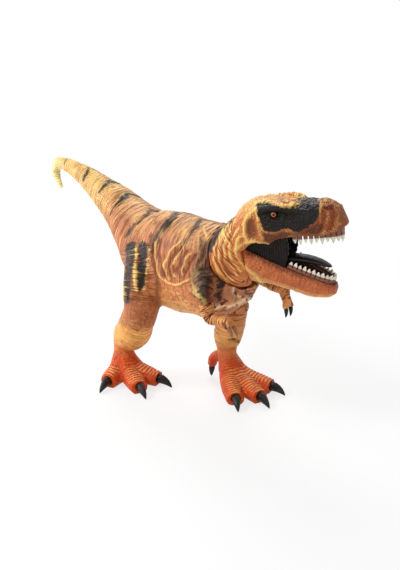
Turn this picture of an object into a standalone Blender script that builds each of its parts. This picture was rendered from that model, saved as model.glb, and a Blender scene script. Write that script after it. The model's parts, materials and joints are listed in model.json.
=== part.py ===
"""Toy theropod figure in soft vinyl, caught in mid stride with its mouth open.

The body is one hollow casting: tail, trunk, thighs and upper-arm stubs. The head
with its neck, the two forearms and the two lower legs are castings of their own.
Each ends in a hollow mushroom plug that snaps through a round hole in the body's
wall, so it can be turned. The lower jaw hangs on a pin between the cheeks.
Claws, eyes, teeth, tongue and mouth linings are harder pieces set into the vinyl.

+X is forward, +Y is the figure's left and +Z is up. Lengths are in metres. The
forms are laid out from a point on the floor under the hips, and the whole figure
is then centred on its own footprint.
"""

import math
from collections import namedtuple

import bmesh
import bpy
from mathutils import Matrix, Vector

object_name = "toy_theropod"

# Trunk and tail
hip_height = 0.137
trunk_length = 0.112
trunk_half_width = 0.036
trunk_half_depth = 0.049
tail_length = 0.181
tail_rise = 0.051
tail_root_half_width = 0.029
tail_root_half_depth = 0.030

# Neck ring, where the head plugs in
neck_ring_height = 0.155
neck_ring_offset = 0.003
neck_ring_radius = 0.029
neck_ring_yaw_deg = 15.0
neck_ring_pitch_deg = 18.0
neck_turn_deg = 12.0

# Head, measured from the jaw hinge
hinge_forward_of_ring = 0.0305
hinge_above_ring = 0.022
head_yaw_deg = 28.0
head_pitch_deg = 8.0
snout_length = 0.093
skull_height = 0.042
skull_half_width = 0.0265
lip_height = 0.009
lip_thickness = 0.003
upper_mouth_length = 0.0925
mouth_half_width = 0.0205
upper_row_rear = 0.044
palate_height = 0.019
palate_thickness = 0.005
eye_radius = 0.0034
eye_place_shares = (0.355, 0.87, 0.715)
nostril_radius = 0.0026
nostril_place_shares = (0.875, 0.46, 0.76)
cheek_hollow_depth = 0.0016
cheek_hollow_radius = 0.0062
cheek_hollow_place_shares = (0.125, 1.0, 0.49)

# Lower jaw, measured along the jaw from the hinge
jaw_drop_deg = 27.5
jaw_length = 0.091
lower_mouth_length = 0.0895
lower_row_rear = 0.0423
tongue_root = 0.0175
jaw_depth = 0.026
jaw_floor_depth = 0.009
lining_thickness = 0.003
membrane_radius = 0.041
membrane_thickness = 0.002
membrane_setback = 0.0013
membrane_fan_deg = 36.0
ear_radius = 0.0045
ear_thickness = 0.003
jaw_pin_radius = 0.0012
pin_lift = 0.0025
pin_setback = 0.001
cheek_radius = 0.005
throat_slope_share = 0.17
tongue_length = 0.060
tongue_half_width = 0.0085
tongue_half_thickness = 0.003
tongue_lift = 0.014

# Teeth
tooth_strip_width = 0.003
tooth_strip_height = 0.005
upper_tooth_length = 0.0105
lower_tooth_length = 0.0072
tooth_root_share = 0.2
tooth_belly_share = 0.24
tooth_belly_height_share = 0.5
tooth_tip_share = 0.14
rear_tooth_share = 0.75
short_tooth_share = 0.12
upper_tooth_count = 20
lower_tooth_count = 22

# Legs
right_knee_radius = 0.0175
left_knee_radius = 0.0158
right_calf_radius = 0.0187
left_calf_radius = 0.0158
right_shank_radius = 0.0168
left_shank_radius = 0.0153
right_calf_setting = 0.0028
left_calf_setting = 0.0
right_shank_setting = -0.0012
left_shank_setting = -0.002
ankle_radius = 0.0098
thigh_half_width = 0.0198
thigh_half_depth = 0.0225
shin_length = 0.050
ankle_height = 0.035
right_ankle_forward = -0.005
right_ankle_offset = -0.039
right_shin_lean_deg = 35.0
left_ankle_forward = 0.0745
left_ankle_offset = 0.036
left_shin_lean_deg = 8.0

# Feet
toe_root_radius = 0.0104
toe_tip_radius = 0.0082
right_toe_reach = 0.046
left_toe_reach = 0.057
right_foot_bearing_deg = -17.0
left_foot_bearing_deg = -6.0
right_toe_turn_shares = (-1.0, 0.04, 0.75)
left_toe_turn_shares = (-0.53, -0.03, 0.5)
toe_turn_deg = 50.0
right_toe_reach_shares = (0.68, 1.0, 0.94)
left_toe_reach_shares = (0.98, 1.04, 0.91)
rear_toe_reach = 0.020
rear_toe_lift = 0.0105
right_rear_toe_bearing_deg = 152.0
left_rear_toe_bearing_deg = 190.0
rear_toe_radius = 0.005
toe_claw_length = 0.016
toe_claw_radius = 0.0056
rear_claw_length = 0.01
rear_claw_radius = 0.0038

# Arms
arm_radius = 0.0068
arm_ring_spread = 0.041
shoulder_rise = 0.005
shoulder_spread = 0.027
right_arm_ring_forward = 0.131
right_arm_ring_height = 0.124
right_arm_yaw_deg = 40.0
right_arm_pitch_deg = -76.0
right_forearm_pitch_deg = 8.0
left_arm_ring_forward = 0.131
left_arm_ring_height = 0.124
left_arm_yaw_deg = 8.0
left_arm_pitch_deg = -8.0
left_forearm_pitch_deg = -62.0
elbow_drop = 0.0155
right_forearm_reach = 0.025
left_forearm_reach = 0.013
hand_radius = 0.0042
finger_length = 0.0055
finger_spread = 0.0062
hand_claw_length = 0.0095
hand_claw_radius = 0.0025
hand_socket_depth = 0.002

# Vinyl, plugs and fits
wall = 0.003
fit_gap = 0.0003
neck_plug_radius = 0.011
knee_plug_radius = 0.0065
arm_plug_radius = 0.0028
plug_lip_share = 1.28
plug_bore_share = 0.5
socket_depth = 0.004
overrun = 0.006
neck_reach_share = 1.02
limb_reach_share = 1.25
sweep_gap = 0.0012
sweep_over_deg = 1.0

weld_distance = 0.000004

# Looks: colour and roughness
skin_look = ((0.62, 0.27, 0.08), 0.5)
black_look = ((0.02, 0.018, 0.017), 0.35)
ivory_look = ((0.72, 0.66, 0.48), 0.4)
eye_look = ((0.75, 0.25, 0.05), 0.2)
pin_look = ((0.45, 0.45, 0.45), 0.4)
sharp_angle_deg = 40.0

# Fineness of the skinned forms
skin_cell = 0.0022
fine_cell = 0.0012
body_faces = 2080
body_cavity_faces = 500
neck_room_faces = 420
head_faces = 1500
jaw_faces = 520
leg_faces = 590
leg_cavity_faces = 120
forearm_faces = 220

Station = namedtuple("Station", "x y z half_width half_depth")


# Collections and materials


def empty_scene():
    for item in list(bpy.data.objects):
        bpy.data.objects.remove(item, do_unlink=True)


def new_collection(name):
    collection = bpy.data.collections.new(name)
    bpy.context.scene.collection.children.link(collection)
    return collection


def new_material(name, colour, roughness):
    material = bpy.data.materials.new(name)
    material.use_nodes = True
    shader = material.node_tree.nodes["Principled BSDF"]
    shader.inputs["Base Color"].default_value = (*colour, 1.0)
    shader.inputs["Roughness"].default_value = roughness
    shader.inputs["Metallic"].default_value = 0.0
    return material


# Mesh helpers


def object_from_bmesh(name, form):
    mesh = bpy.data.meshes.new(name)
    form.to_mesh(mesh)
    form.free()
    shape = bpy.data.objects.new(name, mesh)
    bpy.context.scene.collection.objects.link(shape)
    return shape


def discard(shapes):
    for shape in shapes:
        bpy.data.objects.remove(shape, do_unlink=True)


def bake_modifiers(shape):
    """Replace an object's mesh with its evaluated mesh and clear the modifiers."""
    graph = bpy.context.evaluated_depsgraph_get()
    graph.update()
    baked = bpy.data.meshes.new_from_object(shape.evaluated_get(graph))
    shape.modifiers.clear()
    shape.data = baked
    return shape


def boolean(shape, tool, operation):
    modifier = shape.modifiers.new(operation.title(), "BOOLEAN")
    modifier.operation = operation
    modifier.solver = "EXACT"
    modifier.object = tool
    bake_modifiers(shape)
    discard([tool])
    return mend(shape)


def mend(shape):
    """Weld the points a cut leaves on top of one another and close any crack between them."""
    form = bmesh.new()
    form.from_mesh(shape.data)
    bmesh.ops.remove_doubles(form, verts=form.verts, dist=weld_distance)
    bmesh.ops.dissolve_degenerate(form, edges=form.edges, dist=weld_distance)
    cracks = [edge for edge in form.edges if edge.is_boundary]
    bmesh.ops.holes_fill(form, edges=cracks, sides=0)
    form.to_mesh(shape.data)
    form.free()
    return shape


def cut(shape, cutters):
    for cutter in cutters:
        boolean(shape, cutter, "DIFFERENCE")
    return shape


def add(shape, pieces):
    for piece in pieces:
        boolean(shape, piece, "UNION")
    return shape


def move(shape, matrix):
    shape.data.transform(matrix)
    return shape


def frame_along(place, axis, side=Vector((0.0, 1.0, 0.0))):
    """Matrix of a frame at a place, with its Z along the axis and its Y near side."""
    z_axis = Vector(axis).normalized()
    x_axis = side.cross(z_axis).normalized()
    y_axis = z_axis.cross(x_axis)
    matrix = Matrix((x_axis, y_axis, z_axis)).transposed().to_4x4()
    matrix.translation = place
    return matrix


def cylinder(place, axis, radius, start, end, sides=32):
    """Closed cylinder along an axis, from start to end as measured from the place."""
    form = bmesh.new()
    bmesh.ops.create_cone(form, cap_ends=True, segments=sides, radius1=radius, radius2=radius,
                          depth=end - start)
    middle = Matrix.Translation((0.0, 0.0, (start + end) / 2))
    form.transform(frame_along(place, axis) @ middle)
    return object_from_bmesh("cylinder", form)


def ball(place, radii, segments=12, rings=8):
    form = bmesh.new()
    bmesh.ops.create_uvsphere(form, u_segments=segments, v_segments=rings, radius=1.0)
    form.transform(Matrix.Translation(place) @ Matrix.Diagonal((*radii, 1.0)))
    return object_from_bmesh("ball", form)


def prism(outline, start, end, place_point):
    """Extrude a closed flat outline from start to end. place_point turns (u, v, w) to a place."""
    form = bmesh.new()
    near = [form.verts.new(place_point(u, v, start)) for u, v in outline]
    far = [form.verts.new(place_point(u, v, end)) for u, v in outline]
    form.faces.new(near)
    form.faces.new(list(reversed(far)))
    count = len(outline)
    for index in range(count):
        after = (index + 1) % count
        form.faces.new((near[index], far[index], far[after], near[after]))
    bmesh.ops.recalc_face_normals(form, faces=form.faces)
    return object_from_bmesh("prism", form)


def turned(name, outline, matrix, steps=18):
    """Turn an outline of (radius, height) points about Z and stand it in a frame."""
    form = bmesh.new()
    points = [form.verts.new((radius, 0.0, height)) for radius, height in outline]
    for first, second in zip(points, points[1:]):
        form.edges.new((first, second))
    shape = object_from_bmesh(name, form)
    screw = shape.modifiers.new("Screw", "SCREW")
    screw.steps = steps
    screw.render_steps = steps
    screw.use_merge_vertices = True
    screw.merge_threshold = 0.00001
    screw.use_normal_calculate = True
    bake_modifiers(shape)
    return move(shape, matrix)


# Skinned forms


def catmull_rom(before, start, end, after, share):
    square = share * share
    cube = square * share
    return 0.5 * (2 * start + (end - before) * share
                  + (2 * before - 5 * start + 4 * end - after) * square
                  + (3 * start - before - 3 * end + after) * cube)


def refine(stations, steps):
    """Lay a smooth curve through the stations, with this many rings from each to the next."""
    ends = [stations[0]] + list(stations) + [stations[-1]]
    rings = []
    for index in range(1, len(ends) - 2):
        four = ends[index - 1:index + 3]
        for step in range(steps):
            share = step / steps
            rings.append(Station(*(catmull_rom(*values, share) for values in zip(*four))))
    rings.append(stations[-1])
    return rings


def power(value, exponent):
    return math.copysign(abs(value) ** exponent, value)


def loft(stations, side=(0.0, 1.0, 0.0), inset=0.0, squareness=2.0, sides=20, steps=4):
    """Skin a closed form over oval rings. Inset thins it all over, for a cavity."""
    side = Vector(side)
    room_share = 1.5
    least_share = 0.2
    rings = [ring for ring in refine([Station(*station) for station in stations], steps)
             if min(ring.half_width, ring.half_depth) > inset * room_share]
    form = bmesh.new()
    loops = []
    for index, ring in enumerate(rings):
        ahead = rings[min(index + 1, len(rings) - 1)]
        behind = rings[max(index - 1, 0)]
        along = (Vector(ahead[:3]) - Vector(behind[:3])).normalized()
        across = (side - along * side.dot(along)).normalized()
        top = along.cross(across)
        middle = Vector(ring[:3])
        if inset and index == 0:
            middle += along * inset
        if inset and index == len(rings) - 1:
            middle -= along * inset
        length = (Vector(ahead[:3]) - Vector(behind[:3])).length
        slope_wide = (ahead.half_width - behind.half_width) / length
        slope_deep = (ahead.half_depth - behind.half_depth) / length
        half_width = max(ring.half_width - inset * math.hypot(1.0, slope_wide), inset * least_share)
        half_depth = max(ring.half_depth - inset * math.hypot(1.0, slope_deep), inset * least_share)
        loop = []
        for corner in range(sides):
            turn = 2 * math.pi * corner / sides
            wide = power(math.cos(turn), 2 / squareness) * half_width
            deep = power(math.sin(turn), 2 / squareness) * half_depth
            loop.append(form.verts.new(middle + across * wide + top * deep))
        loops.append(loop)
    for first, second in zip(loops, loops[1:]):
        for corner in range(sides):
            after = (corner + 1) % sides
            form.faces.new((first[corner], first[after], second[after], second[corner]))
    form.faces.new(loops[0])
    form.faces.new(loops[-1])
    bmesh.ops.recalc_face_normals(form, faces=form.faces)
    return object_from_bmesh("loft", form)


def fuse(name, forms, cell, faces, smoothing=4):
    """Melt overlapping forms into one skin, smooth the joins and thin it to a face count."""
    joined = bmesh.new()
    for form in forms:
        joined.from_mesh(form.data)
    discard(forms)
    shape = object_from_bmesh(name, joined)
    remesh = shape.modifiers.new("Remesh", "REMESH")
    remesh.mode = "VOXEL"
    remesh.voxel_size = cell
    smooth = shape.modifiers.new("Smooth", "SMOOTH")
    smooth.factor = 0.5
    smooth.iterations = smoothing
    bake_modifiers(shape)
    thin = shape.modifiers.new("Decimate", "DECIMATE")
    thin.ratio = min(1.0, faces / (2 * len(shape.data.polygons)))
    bake_modifiers(shape)
    return shape


def claw(root, along, length, radius, droop, depth, grow=0.0):
    """Hooked claw that leaves its socket along one way and bends down by its droop."""
    along = Vector(along).normalized()
    side = Vector((-along.y, along.x, 0.0)).normalized()
    down = along.cross(side)
    if down.z > 0:
        down = -down
    start = Vector(root) - along * (depth + grow)
    narrow_share = 0.85
    curve_shares = [(0.0, 0.0, 0.72), (0.25, 0.0, 0.95), (0.42, 0.05, 0.9), (0.6, 0.2, 0.76),
                    (0.77, 0.44, 0.56), (0.9, 0.72, 0.34), (1.0, 1.0, 0.1)]
    reach = length + depth
    stations = []
    for along_share, droop_share, radius_share in curve_shares:
        middle = start + along * (reach * along_share) + down * (droop * droop_share)
        size = radius * radius_share + grow
        stations.append((*middle, size * narrow_share, size))
    return loft(stations, side=side, sides=8, steps=1)


# Joint places, worked out from the sizes


def turn_deg(yaw, pitch):
    """Unit vector at this bearing from +X towards +Y, raised by the pitch."""
    yaw = math.radians(yaw)
    pitch = math.radians(pitch)
    return Vector((math.cos(pitch) * math.cos(yaw), math.cos(pitch) * math.sin(yaw), math.sin(pitch)))


neck_place = Vector((trunk_length, neck_ring_offset, neck_ring_height))
neck_axis = turn_deg(neck_ring_yaw_deg, neck_ring_pitch_deg)


membrane_outer = mouth_half_width - lip_thickness - fit_gap - membrane_setback


def head_matrix():
    forward = turn_deg(head_yaw_deg, head_pitch_deg)
    left = Vector((-math.sin(math.radians(head_yaw_deg)), math.cos(math.radians(head_yaw_deg)), 0.0))
    up = forward.cross(left)
    matrix = Matrix((forward, left, up)).transposed().to_4x4()
    matrix.translation = neck_place + Vector((hinge_forward_of_ring, 0.0, hinge_above_ring))
    return matrix


head_frame = head_matrix()
jaw_frame = head_frame @ Matrix.Rotation(math.radians(jaw_drop_deg), 4, "Y")
hinge_place = head_frame @ Vector((-pin_setback, 0.0, pin_lift))
hinge_axis = head_frame.to_3x3() @ Vector((0.0, 1.0, 0.0))
pin_in_jaw = jaw_frame.inverted() @ hinge_place

Leg = namedtuple("Leg", "name side knee ankle shin knee_radius calf_radius shank_radius calf_setting "
                 "shank_setting bearing reach rear_bearing toe_turns toe_shares")
Arm = namedtuple("Arm", "name side shoulder ring axis elbow wrist")
Toe = namedtuple("Toe", "label bearing reach")


def make_leg(name, side, ankle_forward, ankle_offset, lean, *foot):
    ankle = Vector((ankle_forward, ankle_offset, ankle_height))
    lean = math.radians(lean)
    up_shin = Vector((math.sin(lean), 0.0, math.cos(lean)))
    return Leg(name, side, ankle + up_shin * shin_length, ankle, -up_shin, *foot)


legs = [
    make_leg("right", -1, right_ankle_forward, right_ankle_offset, right_shin_lean_deg,
             right_knee_radius, right_calf_radius, right_shank_radius, right_calf_setting,
             right_shank_setting, right_foot_bearing_deg, right_toe_reach,
             right_rear_toe_bearing_deg, right_toe_turn_shares, right_toe_reach_shares),
    make_leg("left", 1, left_ankle_forward, left_ankle_offset, left_shin_lean_deg,
             left_knee_radius, left_calf_radius, left_shank_radius, left_calf_setting,
             left_shank_setting, left_foot_bearing_deg, left_toe_reach,
             left_rear_toe_bearing_deg, left_toe_turn_shares, left_toe_reach_shares),
]


def make_arm(name, side, forward, height, axis, fore_axis, reach):
    """The upper arm runs from the shoulder to its ring, and the forearm on round the elbow."""
    shoulder = Vector((trunk_length, side * shoulder_spread, hip_height + shoulder_rise))
    ring = Vector((forward, side * arm_ring_spread, height))
    elbow = ring + axis * elbow_drop
    wrist = elbow + fore_axis * reach
    return Arm(name, side, shoulder, ring, axis, elbow, wrist)


arms = [
    make_arm("right", -1, right_arm_ring_forward, right_arm_ring_height,
             turn_deg(right_arm_yaw_deg, right_arm_pitch_deg), turn_deg(0.0, right_forearm_pitch_deg),
             right_forearm_reach),
    make_arm("left", 1, left_arm_ring_forward, left_arm_ring_height,
             turn_deg(left_arm_yaw_deg, left_arm_pitch_deg), turn_deg(0.0, left_forearm_pitch_deg),
             left_forearm_reach),
]


# Body


def trunk_stations():
    """Rings from the tail's tip to the breast, as shares of the tail's and trunk's sizes."""
    tail_shares = [(0.955, 0.55, 0.09, 0.09), (0.99, 0.68, 0.14, 0.14), (1.02, 0.88, 0.175, 0.175),
                   (1.0, 1.08, 0.2, 0.2), (0.93, 1.145, 0.23, 0.23), (0.8, 1.11, 0.29, 0.28),
                   (0.66, 1.01, 0.385, 0.375), (0.55, 0.89, 0.48, 0.465), (0.44, 0.76, 0.59, 0.56),
                   (0.33, 0.62, 0.71, 0.675), (0.22, 0.42, 0.84, 0.82)]
    trunk_shares = [(-0.18, 1.08, 0.8, 0.65), (0.0, 1.0, 0.92, 0.85), (0.36, 0.965, 0.97, 1.035),
                    (0.67, 0.985, 1.0, 0.975), (0.9, 0.99, 0.97, 0.97), (1.07, 0.975, 0.86, 0.82),
                    (1.18, 0.945, 0.66, 0.59), (1.255, 0.915, 0.35, 0.3)]
    stations = []
    for back, rise, wide, deep in tail_shares:
        stations.append((-back * tail_length, 0.0, hip_height + rise * tail_rise,
                         wide * tail_root_half_width, deep * tail_root_half_depth))
    for along, height, wide, deep in trunk_shares:
        stations.append((along * trunk_length, 0.0, height * hip_height,
                         wide * trunk_half_width, deep * trunk_half_depth))
    return stations


def neck_root_stations():
    """Short neck stump, round where the head's ring meets it."""
    back = neck_place - neck_axis * trunk_half_width
    past = neck_place + neck_axis * overrun
    return [(*back, neck_ring_radius, neck_ring_radius),
            (*neck_place, neck_ring_radius, neck_ring_radius),
            (*past, neck_ring_radius, neck_ring_radius)]


def thigh_stations(leg):
    """Rings from the hip down to just past the knee ring."""
    hip_forward_share, hip_spread_share = 0.32, 0.5
    middle_share, middle_back_share = 0.5, 0.35
    hip_width_share, middle_depth_share = 0.9, 0.95
    hip = Vector((leg.knee.x * hip_forward_share, leg.side * trunk_half_width * hip_spread_share, hip_height))
    middle = hip.lerp(leg.knee, middle_share)
    middle.x -= leg.shin.x * leg.knee_radius * middle_back_share
    past = leg.knee + leg.shin * overrun
    before = leg.knee - leg.shin * overrun
    return [(*hip, thigh_half_width * hip_width_share, thigh_half_depth),
            (*middle, thigh_half_width, thigh_half_depth * middle_depth_share),
            (*before, leg.knee_radius, leg.knee_radius),
            (*past, leg.knee_radius, leg.knee_radius)]


def upper_arm_stations(arm):
    """Stub from inside the shoulder to just past the arm ring."""
    root_width_share, root_depth_share = 1.7, 2.0
    before = arm.ring - arm.axis * overrun
    past = arm.ring + arm.axis * overrun
    return [(*arm.shoulder, arm_radius * root_width_share, arm_radius * root_depth_share),
            (*before, arm_radius, arm_radius),
            (*past, arm_radius, arm_radius)]


def body_forms(inset):
    forms = [loft(trunk_stations(), inset=inset, squareness=2.2)]
    forms.append(loft(neck_root_stations(), inset=inset))
    for leg in legs:
        forms.append(loft(thigh_stations(leg), inset=inset))
    for arm in arms:
        forms.append(loft(upper_arm_stations(arm), inset=inset))
    return forms


def ring_planes():
    """Every ring where a casting meets the body: place, way out of the body and plug radius."""
    planes = [(neck_place, neck_axis, neck_ring_radius, neck_plug_radius)]
    for leg in legs:
        planes.append((leg.knee, leg.shin, leg.knee_radius, knee_plug_radius))
    for arm in arms:
        planes.append((arm.ring, arm.axis, arm_radius, arm_plug_radius))
    return planes


def make_body():
    shell = fuse("body_shell", body_forms(0.0), skin_cell, body_faces, smoothing=8)
    cavity = fuse("cavity", body_forms(wall), skin_cell, body_cavity_faces, smoothing=8)
    cut(shell, [neck_room(sweep_gap, 0.0)])
    cut(cavity, [neck_room(sweep_gap + wall, wall)])
    for place, way, ring_radius, _ in ring_planes()[1:]:
        reach = ring_radius * limb_reach_share
        cut(shell, [cylinder(place, way, reach, 0.0, ring_radius)])
        cut(cavity, [cylinder(place, way, reach + wall, -wall, ring_radius)])
    for place, way, ring_radius, plug_radius in ring_planes():
        lip_room = plug_radius * plug_lip_share + fit_gap * 2
        add(cavity, [cylinder(place, way, lip_room, -wall - plug_radius - fit_gap * 5, -wall - fit_gap),
                     cylinder(place, way, plug_radius + fit_gap, -wall - overrun, overrun)])
    cut(shell, [cavity])
    return shell


def neck_room(grow, behind):
    """Room that the neck takes up as it turns, from just behind its ring's plane forward."""
    forms = [cylinder(neck_place, neck_axis, neck_ring_radius * neck_reach_share + grow,
                      -overrun, neck_ring_radius)]
    far_turn = neck_turn_deg + sweep_over_deg
    for turn in (-far_turn, -far_turn / 2, 0.0, far_turn / 2, far_turn):
        stations = [(x, y, z, wide + grow, deep + grow) for x, y, z, wide, deep in neck_stations()]
        about = Matrix.Translation(neck_place) @ Matrix.Rotation(math.radians(turn), 4, neck_axis)
        forms.append(move(loft(stations), about @ Matrix.Translation(-neck_place)))
    room = fuse("neck_room", forms, skin_cell, neck_room_faces, smoothing=2)
    plane = neck_place - neck_axis * behind
    return cut(room, [cylinder(plane, -neck_axis, neck_ring_radius * 2, 0.0, neck_ring_radius * 2)])


def make_plug(place, way_in, plug_radius):
    """Hollow mushroom plug: a stem through the wall, and a lip that is wider than its hole."""
    lip = plug_radius * plug_lip_share
    top_share, bevel_share = 0.7, 0.35
    neck_end = wall + fit_gap * 2
    outline = [(0.0, neck_end + plug_radius), (plug_radius * top_share, neck_end + plug_radius),
               (lip, neck_end + plug_radius * bevel_share), (lip, neck_end + fit_gap),
               (plug_radius, neck_end), (plug_radius, -wall), (0.0, -wall)]
    return turned("plug", outline, frame_along(place, way_in))


def plug_bore(place, way_in, plug_radius):
    return cylinder(place, way_in, plug_radius * plug_bore_share, -wall - overrun,
                    wall + plug_radius + overrun, sides=20)


# Lower legs


def calf_stations(leg):
    """Rings from just past the knee ring to the foot."""
    ring_share, calf_share, shank_share = 0.06, 0.38, 0.7
    calf_width_share, shank_width_share, instep_width_share = 0.95, 0.86, 1.2
    instep_height_share, instep_forward_share = 0.4, 0.5
    knee = leg.knee - leg.shin * overrun
    ring_end = leg.knee + leg.shin * (shin_length * ring_share)
    ahead = Vector((-leg.shin.z, 0.0, leg.shin.x))
    calf = leg.knee + leg.shin * (shin_length * calf_share) + ahead * leg.calf_setting
    shank = leg.knee + leg.shin * (shin_length * shank_share) + ahead * leg.shank_setting
    instep = Vector((leg.ankle.x, leg.ankle.y, ankle_height * instep_height_share))
    instep += turn_deg(leg.bearing, 0.0) * (ankle_radius * instep_forward_share)
    return [(*knee, leg.knee_radius, leg.knee_radius),
            (*ring_end, leg.knee_radius, leg.knee_radius),
            (*calf, leg.calf_radius * calf_width_share, leg.calf_radius),
            (*shank, leg.shank_radius * shank_width_share, leg.shank_radius),
            (*leg.ankle, ankle_radius, ankle_radius),
            (*instep, ankle_radius * instep_width_share, ankle_radius * instep_width_share)]


def foot_toes(leg):
    """The three front toes, from the figure's right to its left."""
    labels = ("outer", "middle", "inner") if leg.side < 0 else ("inner", "middle", "outer")
    return [Toe(label, leg.bearing + turn * toe_turn_deg, leg.reach * share)
            for label, turn, share in zip(labels, leg.toe_turns, leg.toe_shares)]


def toe_stations(leg, toe):
    """Rings from inside the ankle, down over the knuckle and out to the toe's tip."""
    root_drop_share, root_size_share = 0.5, 0.9
    arch_share, arch_height_share = 0.3, 0.37
    knuckle_share, knuckle_height_share = 0.62, 0.82
    knuckle_width_share, knuckle_depth_share = 1.06, 0.92
    tip_height_share, tip_width_share = 0.78, 1.12
    out = turn_deg(toe.bearing, 0.0)
    root = leg.ankle - Vector((0.0, 0.0, ankle_radius * root_drop_share))
    arch = leg.ankle + out * (toe.reach * arch_share)
    arch.z = ankle_height * arch_height_share
    knuckle = leg.ankle + out * (toe.reach * knuckle_share)
    knuckle.z = toe_root_radius * knuckle_height_share
    tip = leg.ankle + out * toe.reach
    tip.z = toe_tip_radius * tip_height_share
    return [(*root, toe_root_radius * root_size_share, toe_root_radius * root_size_share),
            (*arch, toe_root_radius, toe_root_radius),
            (*knuckle, toe_root_radius * knuckle_width_share, toe_root_radius * knuckle_depth_share),
            (*tip, toe_tip_radius * tip_width_share, toe_tip_radius)]


def rear_toe_stations(leg):
    """Rings from inside the ankle, back and down to where the rear claw is set in."""
    root_drop_share, root_size_share = 0.3, 1.3
    bend_share, bend_height_share, bend_size_share = 0.8, 0.68, 1.15
    tip_rise_share = 0.5
    out = turn_deg(leg.rear_bearing, 0.0)
    root = leg.ankle - Vector((0.0, 0.0, ankle_radius * root_drop_share))
    bend = leg.ankle + out * (rear_toe_reach * bend_share)
    bend.z = ankle_height * bend_height_share
    tip = leg.ankle + out * rear_toe_reach
    tip.z = rear_toe_lift + rear_toe_radius * tip_rise_share
    return [(*root, rear_toe_radius * root_size_share, rear_toe_radius * root_size_share),
            (*bend, rear_toe_radius * bend_size_share, rear_toe_radius * bend_size_share),
            (*tip, rear_toe_radius, rear_toe_radius)]


def toe_side(bearing):
    return turn_deg(bearing + 90.0, 0.0)


def claw_places(leg):
    """Each claw on a foot: node name, root, way out, length, radius and droop."""
    root_height_share, droop_share = 0.97, 0.85
    rear_lean_share, rear_droop_share = 0.2, 0.3
    places = []
    for toe in foot_toes(leg):
        out = turn_deg(toe.bearing, 0.0)
        root = leg.ankle + out * toe.reach
        root.z = toe_tip_radius * root_height_share
        places.append((f"{leg.name}_{toe.label}_claw", root, out, toe_claw_length, toe_claw_radius,
                       toe_tip_radius * droop_share))
    out = turn_deg(leg.rear_bearing, 0.0)
    root = leg.ankle + out * rear_toe_reach
    root.z = rear_toe_lift
    way = out * rear_lean_share - Vector((0.0, 0.0, 1.0))
    places.append((f"{leg.name}_rear_claw", root, way, rear_claw_length, rear_claw_radius,
                   rear_toe_radius * rear_droop_share))
    return places


def foot_forms(leg):
    forms = []
    for toe in foot_toes(leg):
        forms.append(loft(toe_stations(leg, toe), side=toe_side(toe.bearing), sides=16))
    forms.append(loft(rear_toe_stations(leg), side=toe_side(leg.rear_bearing), sides=14))
    return forms


def make_lower_leg(leg):
    forms = [loft(calf_stations(leg))] + foot_forms(leg)
    shin = fuse(f"{leg.name}_lower_leg", forms, fine_cell, leg_faces, smoothing=5)
    cavity = fuse("cavity", [loft(calf_stations(leg)[:4], inset=wall)], skin_cell, leg_cavity_faces)
    top = leg.knee + leg.shin * fit_gap
    reach = leg.calf_radius * 2
    cut(shin, [cylinder(top, -leg.shin, reach, 0.0, reach)])
    cut(cavity, [cylinder(top, -leg.shin, reach, -wall, reach)])
    cut(shin, [cavity])
    add(shin, [make_plug(leg.knee, -leg.shin, knee_plug_radius)])
    below = Vector((leg.ankle.x, leg.ankle.y, 0.0))
    floor_reach = leg.reach * 2
    cut(shin, [plug_bore(leg.knee, -leg.shin, knee_plug_radius),
               cylinder(below, (0.0, 0.0, -1.0), floor_reach, 0.0, overrun * 2)])
    claws = []
    for name, root, way, length, radius, droop in claw_places(leg):
        cut(shin, [claw(root, way, length, radius, droop, socket_depth, fit_gap)])
        nail = claw(root, way, length, radius, droop, socket_depth)
        nail.name = name
        claws.append(nail)
    return shin, claws


# Forearms


def forearm_stations(arm):
    """Rings from just past the arm ring, round the elbow and out to the hand."""
    below_share, elbow_size_share = 0.4, 0.85
    bend_share, bend_width_share, bend_depth_share = 0.4, 0.72, 0.76
    wrist_width_share = 1.15
    top = arm.ring - arm.axis * overrun
    below = arm.ring + arm.axis * (arm_radius * below_share)
    bend = arm.elbow.lerp(arm.wrist, bend_share)
    return [(*top, arm_radius, arm_radius),
            (*below, arm_radius, arm_radius),
            (*arm.elbow, arm_radius * elbow_size_share, arm_radius * elbow_size_share),
            (*bend, arm_radius * bend_width_share, arm_radius * bend_depth_share),
            (*arm.wrist, hand_radius * wrist_width_share, hand_radius)]


def finger_places(arm):
    """Each hand claw: node name, root and way out."""
    fore = (arm.wrist - arm.elbow).normalized()
    way = (fore - Vector((0.0, 0.0, 1.0))).normalized()
    places = []
    for label, turn in (("outer", arm.side), ("inner", -arm.side)):
        root = arm.wrist + way * finger_length
        root.y += turn * finger_spread / 2
        places.append((f"{arm.name}_{label}_hand_claw", root, way))
    return places


def make_forearm(arm):
    finger_size_share, knuckle_share, cell_share = 1.3, 0.5, 0.75
    places = finger_places(arm)
    forms = [loft(forearm_stations(arm))]
    for _, root, way in places:
        size = hand_claw_radius * finger_size_share
        knuckle = root - way * (finger_length * knuckle_share)
        forms.append(loft([(*arm.wrist, size, size), (*knuckle, size, size), (*root, size, size)],
                          steps=3, sides=12))
    forearm = fuse(f"{arm.name}_forearm", forms, fine_cell * cell_share, forearm_faces, smoothing=3)
    top = arm.ring + arm.axis * fit_gap
    reach = arm_radius * 2
    cut(forearm, [cylinder(top, -arm.axis, reach, 0.0, reach)])
    add(forearm, [make_plug(arm.ring, -arm.axis, arm_plug_radius)])
    claws = []
    for name, root, way in places:
        droop = hand_claw_radius
        cut(forearm, [claw(root, way, hand_claw_length, hand_claw_radius, droop, hand_socket_depth, fit_gap)])
        nail = claw(root, way, hand_claw_length, hand_claw_radius, droop, hand_socket_depth)
        nail.name = name
        claws.append(nail)
    return forearm, claws


# Head


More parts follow.
